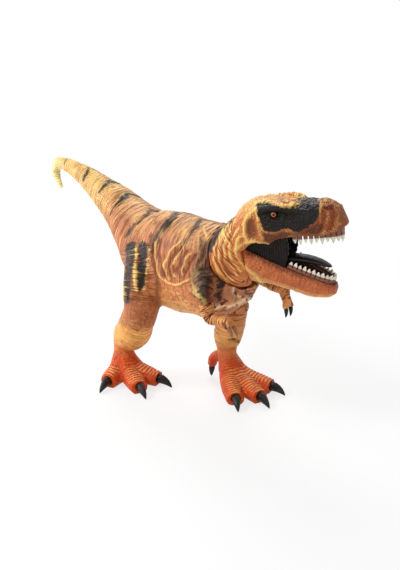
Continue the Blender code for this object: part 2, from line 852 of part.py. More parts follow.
def arch_point(turn, length, half_width):
    """Point on the mouth's arch. Turn runs from 0 at the left rear to pi at the right rear."""
    roundness_share = 0.8
    return (length * power(math.sin(turn), roundness_share),
            half_width * power(math.cos(turn), roundness_share))


def arch_walk(mouth_length, inset, count, rear=0.0):
    """Evenly spaced points along the arch, from the left rear round the front to the right rear."""
    length = mouth_length - inset
    half_width = mouth_half_width - inset
    fine_steps = 400
    fine = [Vector(arch_point(math.pi * step / fine_steps, length, half_width))
            for step in range(fine_steps + 1)]
    fine = [point for point in fine if point.x >= rear]
    walked = [0.0]
    for before, after in zip(fine, fine[1:]):
        walked.append(walked[-1] + (after - before).length)
    points = []
    reached = 0
    for index in range(count):
        target = walked[-1] * index / (count - 1)
        while reached < len(walked) - 2 and walked[reached + 1] < target:
            reached += 1
        share = (target - walked[reached]) / (walked[reached + 1] - walked[reached])
        points.append(fine[reached].lerp(fine[reached + 1], share))
    return points


def arch_outline(mouth_length, inset, rear=0.0, count=41):
    return [(point.x, point.y) for point in arch_walk(mouth_length, inset, count, rear)]


def skull_stations():
    """Rings from the back of the skull to the snout, in the head's frame."""
    skull_shares = [(-0.1, 0.19, 0.74, 0.28), (0.02, 0.29, 0.94, 0.49), (0.16, 0.39, 1.0, 0.585),
                    (0.38, 0.38, 0.95, 0.54), (0.6, 0.36, 0.81, 0.51), (0.77, 0.325, 0.68, 0.53),
                    (0.88, 0.255, 0.51, 0.445), (0.945, 0.225, 0.37, 0.325), (0.99, 0.215, 0.18, 0.185)]
    stations = []
    for along, middle, wide, deep in skull_shares:
        stations.append((along * snout_length, 0.0, middle * skull_height,
                         wide * skull_half_width, deep * skull_height))
    return stations


def neck_stations():
    """Rings from the neck ring up into the skull, in the figure's frame."""
    first_share = 0.15
    throat_back_share, throat_height_share, throat_width_share = 0.14, -0.3, 0.92
    inside_forward_share, inside_height_share = 0.06, 0.3
    inside_width_share, inside_depth_share = 0.75, 0.7
    start = neck_place - neck_axis * overrun
    first = neck_place + neck_axis * (neck_ring_radius * first_share)
    throat = head_frame @ Vector((-snout_length * throat_back_share, 0.0, skull_height * throat_height_share))
    inside = head_frame @ Vector((snout_length * inside_forward_share, 0.0,
                                  skull_height * inside_height_share))
    return [(*start, neck_ring_radius, neck_ring_radius),
            (*first, neck_ring_radius, neck_ring_radius),
            (*throat, neck_ring_radius * throat_width_share, neck_ring_radius),
            (*inside, neck_ring_radius * inside_width_share, neck_ring_radius * inside_depth_share)]


def brow_stations(side):
    """Ridge over one eye, from behind it to the snout."""
    brow_shares = [(0.12, 0.74, 0.76), (0.3, 0.86, 0.84), (0.44, 0.84, 0.82), (0.58, 0.62, 0.7),
                   (0.78, 0.4, 0.64)]
    size_share = 0.085
    size = skull_height * size_share
    return [(along * snout_length, side * wide * skull_half_width, height * skull_height, size, size)
            for along, wide, height in brow_shares]


def lip_outline():
    """Side view of the space below the upper lip, from the mouth's corner forward and down."""
    edge_shares = [(0.11, 0.5), (0.2, 0.52), (0.27, 0.36), (0.36, 0.8), (0.52, 1.08),
                   (0.7, 0.92), (0.86, 0.92), (0.93, 1.25), (0.99, 1.45), (1.25, 1.5)]
    front_share = 1.25
    outline = cheek_arc(cheek_radius)
    outline += [(along * snout_length, height * lip_height) for along, height in edge_shares]
    outline.append((front_share * snout_length, -2 * skull_height))
    outline.append(throat_line(-2 * skull_height))
    return outline


def cheek_arc(radius):
    """Lower edge of the cheek round the jaw pin, from straight behind the mouth's corner forward."""
    steps = 6
    start_deg, sweep_deg = -105.0, 85.0
    arc = []
    for step in range(steps + 1):
        turn = math.radians(start_deg + sweep_deg * step / steps)
        arc.append((-pin_setback + radius * math.cos(turn), pin_lift + radius * math.sin(turn)))
    return arc


def throat_line(height):
    """Point on the slanting line where the throat ends and the jaw begins."""
    start = cheek_arc(cheek_radius)[0]
    return (start[0] + (start[1] - height) * throat_slope_share, height)


def head_point(along, across, height):
    return head_frame @ Vector((along, across, height))


def jaw_point(along, across, height):
    return jaw_frame @ Vector((along, across, height))


def skull_place(side, ahead_share, aside_share, height_share):
    """Point on one side of the skull, by shares of its length, half width and height."""
    return head_point(ahead_share * snout_length, side * aside_share * skull_half_width,
                      height_share * skull_height)


def cheek_hollow(side):
    """Cutter for the shallow oval hollow behind one eye."""
    ahead_share, aside_share, height_share = cheek_hollow_place_shares
    stretch_share = 1.5
    place = Vector((ahead_share * snout_length, side * (aside_share * skull_half_width),
                    height_share * skull_height))
    radii = (cheek_hollow_radius, cheek_hollow_depth * stretch_share, cheek_hollow_radius * stretch_share)
    return move(ball(place, radii), head_frame)


def make_head():
    slope_share, ring_cut_share, pin_set_share, bore_reach_share = 0.6, 1.5, 0.3, 0.6
    forms = [loft(skull_stations(), squareness=2.5, sides=24)]
    for side in (-1, 1):
        forms.append(loft(brow_stations(side), sides=12))
    for form in forms:
        move(form, head_frame)
    forms.append(loft(neck_stations()))
    shell = fuse("head_shell", forms, fine_cell, head_faces, smoothing=6)
    outline = lip_outline()
    mouth_space = prism(outline, -2 * skull_half_width, 2 * skull_half_width,
                        lambda u, v, w: head_point(u, w, v))
    front_hollow = prism(arch_outline(upper_mouth_length, lip_thickness, ear_radius), -skull_height,
                         palate_height, head_point)
    clear = fit_gap * 4
    room = ear_radius + clear
    chamber = [(-pin_setback - room, -skull_height), (-pin_setback - room, pin_lift + room),
               (-pin_setback, pin_lift + room), (membrane_radius * slope_share, palate_height),
               (membrane_radius + clear, palate_height), (membrane_radius + clear, -skull_height)]
    half = mouth_half_width - lip_thickness
    rear_hollow = prism(chamber, -half, half, lambda u, v, w: head_point(u, w, v))
    top = neck_place + neck_axis * fit_gap
    ring_cut = cylinder(top, -neck_axis, neck_ring_radius * ring_cut_share, 0.0, neck_ring_radius)
    cut(shell, [ring_cut, mouth_space, front_hollow, rear_hollow])
    eyes = []
    for name, side in (("right_eye", -1), ("left_eye", 1)):
        place = skull_place(side, *eye_place_shares)
        grown = eye_radius + fit_gap
        nostril_place = skull_place(side, *nostril_place_shares)
        nostril = ball(nostril_place, (nostril_radius, nostril_radius, nostril_radius))
        cut(shell, [ball(place, (grown, grown, grown)), nostril, cheek_hollow(side)])
        eye = ball(place, (eye_radius, eye_radius, eye_radius))
        eye.name = name
        eyes.append(eye)
    pin_reach = mouth_half_width - lip_thickness * pin_set_share
    cut(shell, [cylinder(hinge_place, hinge_axis, jaw_pin_radius + fit_gap, -pin_reach - fit_gap,
                         pin_reach + fit_gap, 16)])
    pin = cylinder(hinge_place, hinge_axis, jaw_pin_radius, -pin_reach, pin_reach, 16)
    pin.name = "jaw_pin"
    add(shell, [make_plug(neck_place, -neck_axis, neck_plug_radius)])
    cut(shell, [cylinder(neck_place, -neck_axis, neck_plug_radius * plug_bore_share,
                         -neck_ring_radius * bore_reach_share, neck_ring_radius, 20)])
    return shell, eyes, pin


def make_palate():
    inset = lip_thickness + fit_gap * 2
    outline = arch_outline(upper_mouth_length, inset, ear_radius * 2)
    inner_half = membrane_outer - membrane_thickness - fit_gap
    outline = [(along, max(-inner_half, min(inner_half, across))) for along, across in outline]
    plate = prism(outline, palate_height - fit_gap - palate_thickness, palate_height - fit_gap, head_point)
    plate.name = "palate"
    return plate


def draw_out_tooth(form, corners, edge, base, tip, point):
    """Fill one field of the strip's biting edge with a peg that narrows to a blunt point."""
    middle = sum(corners, Vector((0.0, 0.0))) / len(corners)
    rings = [edge]
    belly = base + (tip - base) * tooth_belly_height_share
    for share, height in ((tooth_root_share, base), (tooth_belly_share, belly), (1.0 - tooth_tip_share, tip)):
        places = [corner.lerp(middle, share) for corner in corners]
        rings.append([form.verts.new(point(place.x, place.y, height)) for place in places])
    for lower, upper in zip(rings, rings[1:]):
        for index in range(len(corners)):
            after = (index + 1) % len(corners)
            form.faces.new((lower[index], lower[after], upper[after], upper[index]))
    form.faces.new(rings[-1])


def tooth_row(name, count, mouth_length, point, base, tip, rear):
    """Strip that follows the mouth's arch, drawn out into a row of pointed teeth."""
    inset = lip_thickness + fit_gap * 2
    outer = arch_walk(mouth_length, inset, count + 1, rear)
    inner = arch_walk(mouth_length, inset + tooth_strip_width, count + 1, rear)
    back = base + math.copysign(tooth_strip_height, base - tip)
    form = bmesh.new()
    outer_back, inner_back, outer_base, inner_base = (
        [form.verts.new(point(at.x, at.y, height)) for at in walk]
        for walk, height in ((outer, back), (inner, back), (outer, base), (inner, base)))
    for index in range(count):
        after = index + 1
        form.faces.new((outer_back[index], outer_back[after], outer_base[after], outer_base[index]))
        form.faces.new((inner_back[index], inner_back[after], inner_base[after], inner_base[index]))
        form.faces.new((outer_back[index], outer_back[after], inner_back[after], inner_back[index]))
        corners = [outer[index], outer[after], inner[after], inner[index]]
        edge = [outer_base[index], outer_base[after], inner_base[after], inner_base[index]]
        front_share = outer[index].x / mouth_length
        size = rear_tooth_share + (1.0 - rear_tooth_share) * front_share - short_tooth_share * (index % 2)
        draw_out_tooth(form, corners, edge, base, base + (tip - base) * size, point)
    for index in (0, count):
        form.faces.new((outer_back[index], inner_back[index], inner_base[index], outer_base[index]))
    bmesh.ops.recalc_face_normals(form, faces=form.faces)
    return object_from_bmesh(name, form)


def make_upper_teeth():
    top = palate_height - palate_thickness - fit_gap * 2
    base = top - tooth_strip_height
    return tooth_row("upper_teeth", upper_tooth_count, upper_mouth_length, head_point, base,
                     base - upper_tooth_length, upper_row_rear)


# Lower jaw


def jaw_stations():
    """Rings along the jaw from behind its hinge end to the chin, in the jaw's frame."""
    jaw_shares = [(-0.12, -0.62, 1.04, 0.68), (0.0, -0.62, 1.1, 0.72), (0.14, -0.57, 1.12, 0.68),
                  (0.32, -0.47, 1.05, 0.56), (0.55, -0.4, 0.93, 0.5), (0.75, -0.36, 0.76, 0.48),
                  (0.89, -0.3, 0.53, 0.38), (0.98, -0.2, 0.28, 0.2)]
    outer_share = 0.35
    half_width = mouth_half_width + lip_thickness * outer_share
    return [(along * jaw_length, 0.0, middle * jaw_depth, wide * half_width, deep * jaw_depth)
            for along, middle, wide, deep in jaw_shares]


def behind_throat():
    """Everything behind the slanting line of the throat, a gap in front of it."""
    low = -2 * skull_height
    outline = [throat_line(jaw_depth), throat_line(low), (-jaw_length, low), (-jaw_length, jaw_depth)]
    return prism([(along + fit_gap * 2, height) for along, height in outline], -jaw_length, jaw_length,
                 lambda u, v, w: head_point(u, w, v))


def ear_pads():
    """Two pads that reach up inside the cheeks to the hinge pin, one each side."""
    outer = membrane_outer - membrane_thickness - fit_gap
    low = -jaw_floor_depth - lip_thickness
    back_share = 0.6
    pads = []
    for side in (-1, 1):
        start, end = sorted((side * outer, side * (outer - ear_thickness)))
        disc = cylinder(hinge_place, hinge_axis, ear_radius, start, end, 24)
        arm_outline = [(pin_in_jaw.x - ear_radius * back_share, pin_in_jaw.z), (ear_radius * 3, 0.0),
                       (ear_radius * 3, low), (ear_radius, low)]
        pads.append(add(disc, [prism(arm_outline, start, end, lambda u, v, w: jaw_point(u, w, v))]))
    return pads


def make_jaw():
    form = move(loft(jaw_stations(), squareness=2.4, sides=20), jaw_frame)
    jaw = fuse("lower_jaw", [form], fine_cell, jaw_faces)
    top_height = 0.0
    reach_share = 1.3
    reach = jaw_length * reach_share
    slab = [(-reach, -reach), (reach, -reach), (reach, reach), (-reach, reach)]
    above = prism(slab, top_height, jaw_depth * 2, jaw_point)
    half = mouth_half_width - lip_thickness
    open_rear = [(-reach, -half), (-reach, half)]
    hollow = prism(arch_outline(lower_mouth_length, lip_thickness) + open_rear, -jaw_floor_depth, jaw_depth,
                   jaw_point)
    around_cheek = cylinder(hinge_place, hinge_axis, cheek_radius + fit_gap * 2, -jaw_length, jaw_length)
    cut(jaw, [above, hollow, around_cheek, behind_throat()])
    add(jaw, ear_pads())
    cut(jaw, [pin_hole()])
    return jaw


def pin_hole():
    return cylinder(hinge_place, hinge_axis, jaw_pin_radius + fit_gap, -skull_half_width,
                    skull_half_width, 16)


def make_lining():
    """Black floor of the mouth with the two ribbed membranes that slide up inside the cheeks."""
    inset = lip_thickness + fit_gap * 2
    floor_bottom = fit_gap - jaw_floor_depth
    rear = ear_radius * 3 + fit_gap * 2
    outline = arch_outline(lower_mouth_length, inset, rear)
    lining = prism(outline, floor_bottom, floor_bottom + lining_thickness, jaw_point)
    for side in (-1, 1):
        start, end = sorted((side * membrane_outer, side * (membrane_outer - membrane_thickness)))
        fan = membrane_outline(floor_bottom + lining_thickness / 2)
        add(lining, [prism(fan, start, end, lambda u, v, w: jaw_point(u, w, v))])
    cut(lining, [pin_hole()])
    lining.name = "mouth_lining"
    return lining


def membrane_outline(bottom):
    """Fan round the hinge, from the jaw's floor up to where the open mouth's cheek hides it."""
    outline = [(membrane_radius, bottom)]
    steps = 10
    rib_share, pad_share = 0.02, 0.9
    for step in range(steps + 1):
        turn = math.radians(membrane_fan_deg) * step / steps
        radius = membrane_radius * (1 - rib_share * (step % 2))
        outline.append((radius * math.cos(turn), radius * math.sin(turn)))
    pad = ear_radius * pad_share
    outline.append((pin_in_jaw.x, pin_in_jaw.z + pad))
    outline.append((pin_in_jaw.x - pad, pin_in_jaw.z))
    outline.append((pin_in_jaw.x, pin_in_jaw.z - pad))
    outline.append((ear_radius + fit_gap * 2, bottom))
    return outline


def make_lower_teeth():
    base = -jaw_floor_depth + lining_thickness + tooth_strip_height + fit_gap * 2
    return tooth_row("lower_teeth", lower_tooth_count, lower_mouth_length, jaw_point, base,
                     base + lower_tooth_length, lower_row_rear)


def tongue_stations():
    """Rings from the tongue's flat root, up and forward to its raised tip, in the jaw's frame."""
    floor = -jaw_floor_depth + lining_thickness + fit_gap
    tongue_shares = [(0.0, 0.0, 0.8, 0.9), (0.2, 0.12, 1.0, 1.15), (0.4, 0.42, 1.0, 1.2),
                     (0.6, 0.76, 0.95, 1.05), (0.8, 0.96, 0.78, 0.8), (0.95, 1.0, 0.45, 0.5),
                     (1.0, 1.0, 0.15, 0.2)]
    return [(tongue_root + along * tongue_length, 0.0, floor + tongue_half_thickness + lift * tongue_lift,
             wide * tongue_half_width, deep * tongue_half_thickness)
            for along, lift, wide, deep in tongue_shares]


def make_tongue():
    tongue = move(loft(tongue_stations(), squareness=2.3, sides=14, steps=2), jaw_frame)
    tongue.name = "tongue"
    floor = -jaw_floor_depth + lining_thickness + fit_gap
    reach = jaw_length
    slab = [(0.0, -reach), (reach, -reach), (reach, reach), (0.0, reach)]
    return cut(tongue, [prism(slab, floor - jaw_depth, floor, jaw_point)])


def make_parts():
    parts = {}
    parts["body_shell"] = make_body()
    head, eyes, pin = make_head()
    parts["head_shell"] = head
    for eye in eyes:
        parts[eye.name] = eye
    parts["jaw_pin"] = pin
    parts["palate"] = make_palate()
    parts["upper_teeth"] = make_upper_teeth()
    parts["lower_jaw"] = make_jaw()
    parts["mouth_lining"] = make_lining()
    parts["lower_teeth"] = make_lower_teeth()
    parts["tongue"] = make_tongue()
    for leg in legs:
        shin, claws = make_lower_leg(leg)
        parts[shin.name] = shin
        for nail in claws:
            parts[nail.name] = nail
    for arm in arms:
        forearm, claws = make_forearm(arm)
        parts[forearm.name] = forearm
        for nail in claws:
            parts[nail.name] = nail
    return parts


# Materials, joints and the figure's own frame


def paint(parts):
    """Give each piece a slot of its own, named after it."""
    for name, part in parts.items():
        colour, roughness = skin_look
        if "claw" in name or name in ("palate", "mouth_lining", "tongue"):
            colour, roughness = black_look
        elif "teeth" in name:
            colour, roughness = ivory_look
        elif "eye" in name:
            colour, roughness = eye_look
        elif name == "jaw_pin":
            colour, roughness = pin_look
        part.data.materials.clear()
        part.data.materials.append(new_material(name, colour, roughness))
        part.data.shade_smooth()
        part.data.set_sharp_from_angle(angle=math.radians(sharp_angle_deg))


def new_empty(name, collection, parent, matrix):
    """Empty that stands at a joint. The matrix is given in the figure's frame."""
    empty = bpy.data.objects.new(name, None)
    empty.empty_display_size = fit_gap * 20
    collection.objects.link(empty)
    if parent:
        empty.parent = parent
        matrix = figure_matrix(parent).inverted() @ matrix
    empty.matrix_basis = matrix
    return empty


def figure_matrix(empty):
    matrix = empty.matrix_basis.copy()
    while empty.parent:
        empty = empty.parent
        matrix = empty.matrix_basis @ matrix
    return matrix


def hang(parts, names, joint):
    """Re-express the pieces in their joint's frame and hang them there."""
    inverse = figure_matrix(joint).inverted()
    for name in names:
        parts[name].data.transform(inverse)
        parts[name].parent = joint


def lowest_middle(parts):
    """Middle of the footprint of everything, at the height of the lowest point."""
    places = [vertex.co for part in parts.values() for vertex in part.data.vertices]
    lows = [min(place[axis] for place in places) for axis in range(3)]
    highs = [max(place[axis] for place in places) for axis in range(3)]
    return Vector(((lows[0] + highs[0]) / 2, (lows[1] + highs[1]) / 2, lows[2]))


def assemble(parts):
    collection = new_collection(object_name)
    for part in parts.values():
        bpy.context.scene.collection.objects.unlink(part)
        collection.objects.link(part)
    shift = lowest_middle(parts)
    root = new_empty("figure_origin", collection, None, Matrix.Identity(4))
    neck = new_empty("neck_joint", collection, root, frame_along(neck_place, neck_axis))
    jaw = new_empty("jaw_joint", collection, neck,
                    Matrix.Translation(hinge_place) @ head_frame.to_3x3().to_4x4())
    hang(parts, ["body_shell"], root)
    hang(parts, ["head_shell", "right_eye", "left_eye", "jaw_pin", "palate", "upper_teeth"], neck)
    hang(parts, ["lower_jaw", "mouth_lining", "lower_teeth", "tongue"], jaw)
    for leg in legs:
        joint = new_empty(f"{leg.name}_knee_joint", collection, root, frame_along(leg.knee, leg.shin))
        names = [f"{leg.name}_lower_leg"] + [place[0] for place in claw_places(leg)]
        hang(parts, names, joint)
    for arm in arms:
        joint = new_empty(f"{arm.name}_arm_joint", collection, root, frame_along(arm.ring, arm.axis))
        names = [f"{arm.name}_forearm"] + [place[0] for place in finger_places(arm)]
        hang(parts, names, joint)
    root.location = -shift


empty_scene()
parts = make_parts()
paint(parts)
assemble(parts)
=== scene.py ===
"""Looks for a striding toy theropod in soft vinyl: skins with folds, scales and sprayed stripes,
glossy claws, ivory teeth, a ribbed mouth lining and glass-bright eyes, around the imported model."""

import json
import math
from types import SimpleNamespace

import bmesh
import bpy
import numpy as np
from mathutils import Matrix, Vector, noise
from mathutils.bvhtree import BVHTree


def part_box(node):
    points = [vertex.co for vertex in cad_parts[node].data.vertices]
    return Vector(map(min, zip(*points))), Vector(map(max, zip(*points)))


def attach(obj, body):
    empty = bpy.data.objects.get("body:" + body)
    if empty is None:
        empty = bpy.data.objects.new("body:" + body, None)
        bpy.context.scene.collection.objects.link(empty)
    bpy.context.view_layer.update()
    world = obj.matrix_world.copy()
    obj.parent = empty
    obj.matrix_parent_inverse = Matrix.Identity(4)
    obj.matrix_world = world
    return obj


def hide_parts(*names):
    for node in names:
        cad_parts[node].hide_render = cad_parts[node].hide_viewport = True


mm = 0.001
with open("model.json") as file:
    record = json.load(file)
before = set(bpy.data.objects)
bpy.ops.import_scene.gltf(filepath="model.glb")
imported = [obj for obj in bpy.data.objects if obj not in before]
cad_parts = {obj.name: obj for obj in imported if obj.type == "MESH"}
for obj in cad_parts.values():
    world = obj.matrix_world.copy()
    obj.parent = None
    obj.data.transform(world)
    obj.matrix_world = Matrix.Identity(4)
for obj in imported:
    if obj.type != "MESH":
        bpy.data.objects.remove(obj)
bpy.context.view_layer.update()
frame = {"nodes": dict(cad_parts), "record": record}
behaviour = frame["record"]["behaviour"]
body_of_node = {node: body for body, nodes in behaviour["bodies"].items() for node in nodes}

# The camera of the photograph: where it looks from, and the point on its axis
photo_width = 400
photo_height = 570
camera_azimuth = math.radians(50.0)
camera_elevation = math.radians(20.0)
camera_distance = 1.0
nearest_seen = 0.01
pixels_per_radian = 970.0
sensor_size = 36.0
aim_from_hips = Vector((0.0413, 0.0273, 0.1002))
neck_from_hips = Vector((0.112, 0.003, 0.155))
neck_joint = next(joint for joint in behaviour["joints"] if joint["name"] == "neck_swivel")
hips = Vector(neck_joint["pos_m"]) - neck_from_hips
aim_point = hips + aim_from_hips
to_camera = Vector((math.sin(camera_azimuth) * math.cos(camera_elevation),
                    -math.cos(camera_azimuth) * math.cos(camera_elevation),
                    math.sin(camera_elevation)))
camera_right = Vector((math.cos(camera_azimuth), math.sin(camera_azimuth), 0.0))
camera_up = to_camera.cross(camera_right)
camera_place = aim_point + to_camera * camera_distance

# The figure's middle plane, and the turned head's own frame
head_from_hips = Vector((0.1425, 0.003, 0.177))
head_yaw = math.radians(28.0)
head_pitch = math.radians(8.0)
jaw_drop = math.radians(27.5)
middle_plane = hips.y
head_place = hips + head_from_hips
head_forward = Vector((math.cos(head_yaw) * math.cos(head_pitch),
                       math.sin(head_yaw) * math.cos(head_pitch),
                       math.sin(head_pitch)))
head_left = Vector((-math.sin(head_yaw), math.cos(head_yaw), 0.0))
head_up = head_forward.cross(head_left)
jaw_up = head_forward * math.sin(jaw_drop) + head_up * math.cos(jaw_drop)

# Bones that the skin's rings run across, from the floor point under the hips. The spine's points are
# lengths forward and heights, all others are places.
spine = [(-0.1729, 0.165), (-0.1792, 0.1717), (-0.1847, 0.1819), (-0.181, 0.1921), (-0.1684, 0.1954),
         (-0.1448, 0.1936), (-0.1195, 0.1885), (-0.0996, 0.1824), (-0.0797, 0.1758), (-0.0598, 0.1686),
         (-0.0399, 0.1584), (-0.0202, 0.148), (0.0, 0.1384), (0.0403, 0.1336), (0.075, 0.1336),
         (0.1008, 0.137), (0.1198, 0.1456), (0.1396, 0.154)]
right_thigh = [(0.0075, -0.016, 0.137), (0.0191, -0.0285, 0.1065), (0.0236, -0.039, 0.076),
               (0.0265, -0.046, 0.056)]
left_thigh = [(0.026, 0.016, 0.137), (0.0545, 0.027, 0.1108), (0.0814, 0.036, 0.0845),
              (0.099, 0.0418, 0.0675)]
right_shin = [(0.0271, -0.039, 0.0809), (-0.005, -0.039, 0.035), (-0.0004, -0.0404, 0.014)]
left_shin = [(0.0823, 0.036, 0.0905), (0.0745, 0.036, 0.035), (0.0793, 0.0355, 0.014)]
right_ankle = (-0.005, -0.039, 0.0301)
right_heel = (-0.005, -0.039, 0.0321)
right_toes = [[right_ankle, (0.003, -0.0579, 0.0098), (0.0079, -0.0695, 0.0068)],
              [right_ankle, (0.0225, -0.0464, 0.0098), (0.0394, -0.0509, 0.0068)],
              [right_ankle, (0.0201, -0.0288, 0.0098), (0.0355, -0.0226, 0.0068)],
              [right_heel, (-0.0208, -0.0362, 0.0238), (-0.0247, -0.0355, 0.0135)]]
left_ankle = (0.0745, 0.036, 0.0301)
left_heel = (0.0745, 0.036, 0.0321)
left_toes = [[left_ankle, (0.1025, 0.0164, 0.0098), (0.1197, 0.0043, 0.0068)],
             [left_ankle, (0.1095, 0.0317, 0.0098), (0.131, 0.0291, 0.0068)],
             [left_ankle, (0.1035, 0.0472, 0.0098), (0.1213, 0.054, 0.0068)],
             [left_heel, (0.0592, 0.0311, 0.0238), (0.0554, 0.0298, 0.0135)]]
right_arm = [(0.112, -0.027, 0.142), (0.131, -0.041, 0.124), (0.1338, -0.0386, 0.109),
             (0.1586, -0.0386, 0.1124)]
left_arm = [(0.112, 0.027, 0.142), (0.131, 0.041, 0.124), (0.1462, 0.0432, 0.1218),
            (0.1523, 0.0432, 0.1104)]
neck = [(0.092, -0.0028, 0.149), (0.1064, 0.0015, 0.1531), (0.1326, 0.0025, 0.1627),
        (0.1458, 0.0048, 0.1903)]
skull = [(0.1326, -0.002, 0.19), (0.1776, 0.022, 0.197), (0.2236, 0.046, 0.204)]
jaw_bone = [(0.1426, 0.003, 0.168), (0.1776, 0.022, 0.15), (0.2146, 0.042, 0.139)]


def from_hips(bone):
    """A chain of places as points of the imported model."""
    return [tuple(hips + Vector(place)) for place in bone]


def in_middle_plane(bone):
    """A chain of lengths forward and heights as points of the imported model, in its middle plane."""
    return [(hips.x + forward, middle_plane, hips.z + height) for forward, height in bone]


# Sampling helpers

far_off = 1e9


def ramp(values, start, end):
    """Smooth rise from 0 at start to 1 at end, over an array."""
    share = np.clip((values - start) / (end - start), 0.0, 1.0)
    return share * share * (3.0 - 2.0 * share)


def noisy(points, size, seed=0.0):
    """Smooth noise from about -1 to 1 at each point, with cells of the given size."""
    return np.array([noise.noise(place) for place in points / size + seed])


def near_line(points, line):
    """Distance of each point to a chain of places, and how far along it the nearest spot lies."""
    best = np.full(len(points), far_off)
    along = np.zeros(len(points))
    walked = 0.0
    for start, end in zip(line, line[1:]):
        start = np.array(start)
        step = np.array(end) - start
        length = float(np.linalg.norm(step))
        share = np.clip((points - start) @ step / (length * length), 0.0, 1.0)
        away = np.linalg.norm(points - start - share[:, None] * step, axis=1)
        closer = away < best
        best[closer] = away[closer]
        along[closer] = walked + share[closer] * length
        walked += length
    return best, along


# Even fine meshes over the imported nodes, whose relief fades where another node lies close

weld_distance = 0.01 * mm
facet_softening = 0.5
touching_gap = 1.0 * mm
open_gap = 3.6 * mm


def merged(node):
    """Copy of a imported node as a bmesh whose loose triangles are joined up."""
    form = bmesh.new()
    form.from_mesh(frame["nodes"][node].data)
    bmesh.ops.remove_doubles(form, verts=form.verts, dist=weld_distance)
    return form


def tree_of(nodes):
    """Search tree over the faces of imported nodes."""
    form = bmesh.new()
    for node in nodes:
        form.from_mesh(frame["nodes"][node].data)
    tree = BVHTree.FromBMesh(form)
    form.free()
    return tree


def baked(piece):
    """Put a piece's modifiers into its mesh."""
    settled = piece.evaluated_get(bpy.context.evaluated_depsgraph_get())
    mesh = bpy.data.meshes.new_from_object(settled)
    old = piece.data
    piece.modifiers.clear()
    piece.data = mesh
    bpy.data.meshes.remove(old)


def placed(name, form):
    """New piece from a bmesh, linked to the scene."""
    mesh = bpy.data.meshes.new(name)
    form.to_mesh(mesh)
    form.free()
    piece = bpy.data.objects.new(name, mesh)
    bpy.context.scene.collection.objects.link(piece)
    return piece


def fine_copy(node, name, cell, smoothing):
    """Copy of a node on a fine even grid, its facets smoothed away, that stands for the node."""
    piece = placed(name, merged(node))
    even = piece.modifiers.new("even", "REMESH")
    even.mode = "VOXEL"
    even.voxel_size = cell
    soft = piece.modifiers.new("soft", "SMOOTH")
    soft.factor = facet_softening
    soft.iterations = smoothing
    baked(piece)
    piece.data.shade_smooth()
    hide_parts(node)
    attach(piece, body_of_node[node])
    return piece


def places_of(mesh):
    """Vertex places as an array."""
    flat = np.empty(len(mesh.vertices) * 3)
    mesh.vertices.foreach_get("co", flat)
    return flat.reshape(-1, 3)


def normals_of(mesh):
    """Vertex normals as an array."""
    flat = np.empty(len(mesh.vertices) * 3, dtype=np.float32)
    mesh.vertex_normals.foreach_get("vector", flat)
    return flat.reshape(-1, 3).astype(float)


def put_places(mesh, places):
    """Write vertex places back."""
    mesh.vertices.foreach_set("co", places.ravel())
    mesh.update()


def put_attribute(mesh, name, *columns):
    """Store up to three numbers a vertex as a vector attribute that materials read."""
    values = np.zeros((len(mesh.vertices), 3), dtype=np.float32)
    for index, column in enumerate(columns):
        values[:, index] = column
    attribute = mesh.attributes.new(name, "FLOAT_VECTOR", "POINT")
    attribute.data.foreach_set("vector", values.ravel())


def room_round(piece, node):
    """Share of full relief at each vertex: none where another node lies close."""
    others = tree_of([other for other in frame["nodes"] if other != node])
    gaps = np.full(len(piece.data.vertices), open_gap)
    for index, vertex in enumerate(piece.data.vertices):
        hit = others.find_nearest(vertex.co, open_gap)
        if hit[0] is not None:
            gaps[index] = hit[3]
    return ramp(gaps, touching_gap, open_gap)


# Relief and paint drawn in the photograph's pixels, which are called spots here

wander_seeds = (3.1, 8.7)


def spots_of(points):
    """Pixels of the photograph at which points of the model lie, as rows."""
    offset = points - np.array(aim_point)
    depth = camera_distance - offset @ np.array(to_camera)
    across = photo_width / 2 + pixels_per_radian * (offset @ np.array(camera_right)) / depth
    down = photo_height / 2 - pixels_per_radian * (offset @ np.array(camera_up)) / depth
    return np.stack([across, down], axis=1)


def across_middle(points, place, way):
    """Points on the far side of a middle plane brought over to the near side."""
    side = (points - np.array(place)) @ np.array(way)
    return points - 2.0 * np.maximum(side, 0.0)[:, None] * np.array(way)


def wander_of(points, size, reach):
    """Small shifts in pixels that make a painted edge uneven."""
    return np.stack([noisy(points, size, seed) for seed in wander_seeds], axis=1) * reach


def inside(spots, outline, soft):
    """1 inside an outline of pixels, falling to 0 over a soft border outside it."""
    closed = outline + outline[:1]
    away = near_line(spots, closed)[0]
    odd = np.zeros(len(spots), dtype=bool)
    for (start_x, start_y), (end_x, end_y) in zip(closed, closed[1:]):
        if end_y != start_y:
            beside = (start_y > spots[:, 1]) != (end_y > spots[:, 1])
            edge_x = start_x + (spots[:, 1] - start_y) / (end_y - start_y) * (end_x - start_x)
            odd ^= beside & (spots[:, 0] < edge_x)
    return ramp(np.where(odd, away, -away), -soft, soft)


def band(spots, line, half, taper, soft):
    """1 along a line of pixels, of one half width at its start and thinner towards its end by taper."""
    away, along = near_line(spots, line)
    full = sum(math.dist(a, b) for a, b in zip(line, line[1:]))
    return ramp(half * (1.0 - taper * along / full) - away, -soft, soft)


def sprayed(spots, stripes, soft):
    """Stripes of spray paint, each with its half width, taper and line of pixels."""
    return np.max([band(spots, line, half, taper, soft) for half, taper, line in stripes], axis=0)


def ridge(spots, line, wide):
    """Rounded rise along a line of pixels."""
    away = near_line(spots, line)[0]
    return np.exp(-(away / wide) ** 2)


def ridges(spots, lines, wide):
    """Ridges along several lines of pixels, the highest counting at each spot."""
    return np.max([ridge(spots, line, wide) for line in lines], axis=0)


# Where folds and stripes lie, in the photograph's pixels. A stripe has its half width and its taper
# before its line.

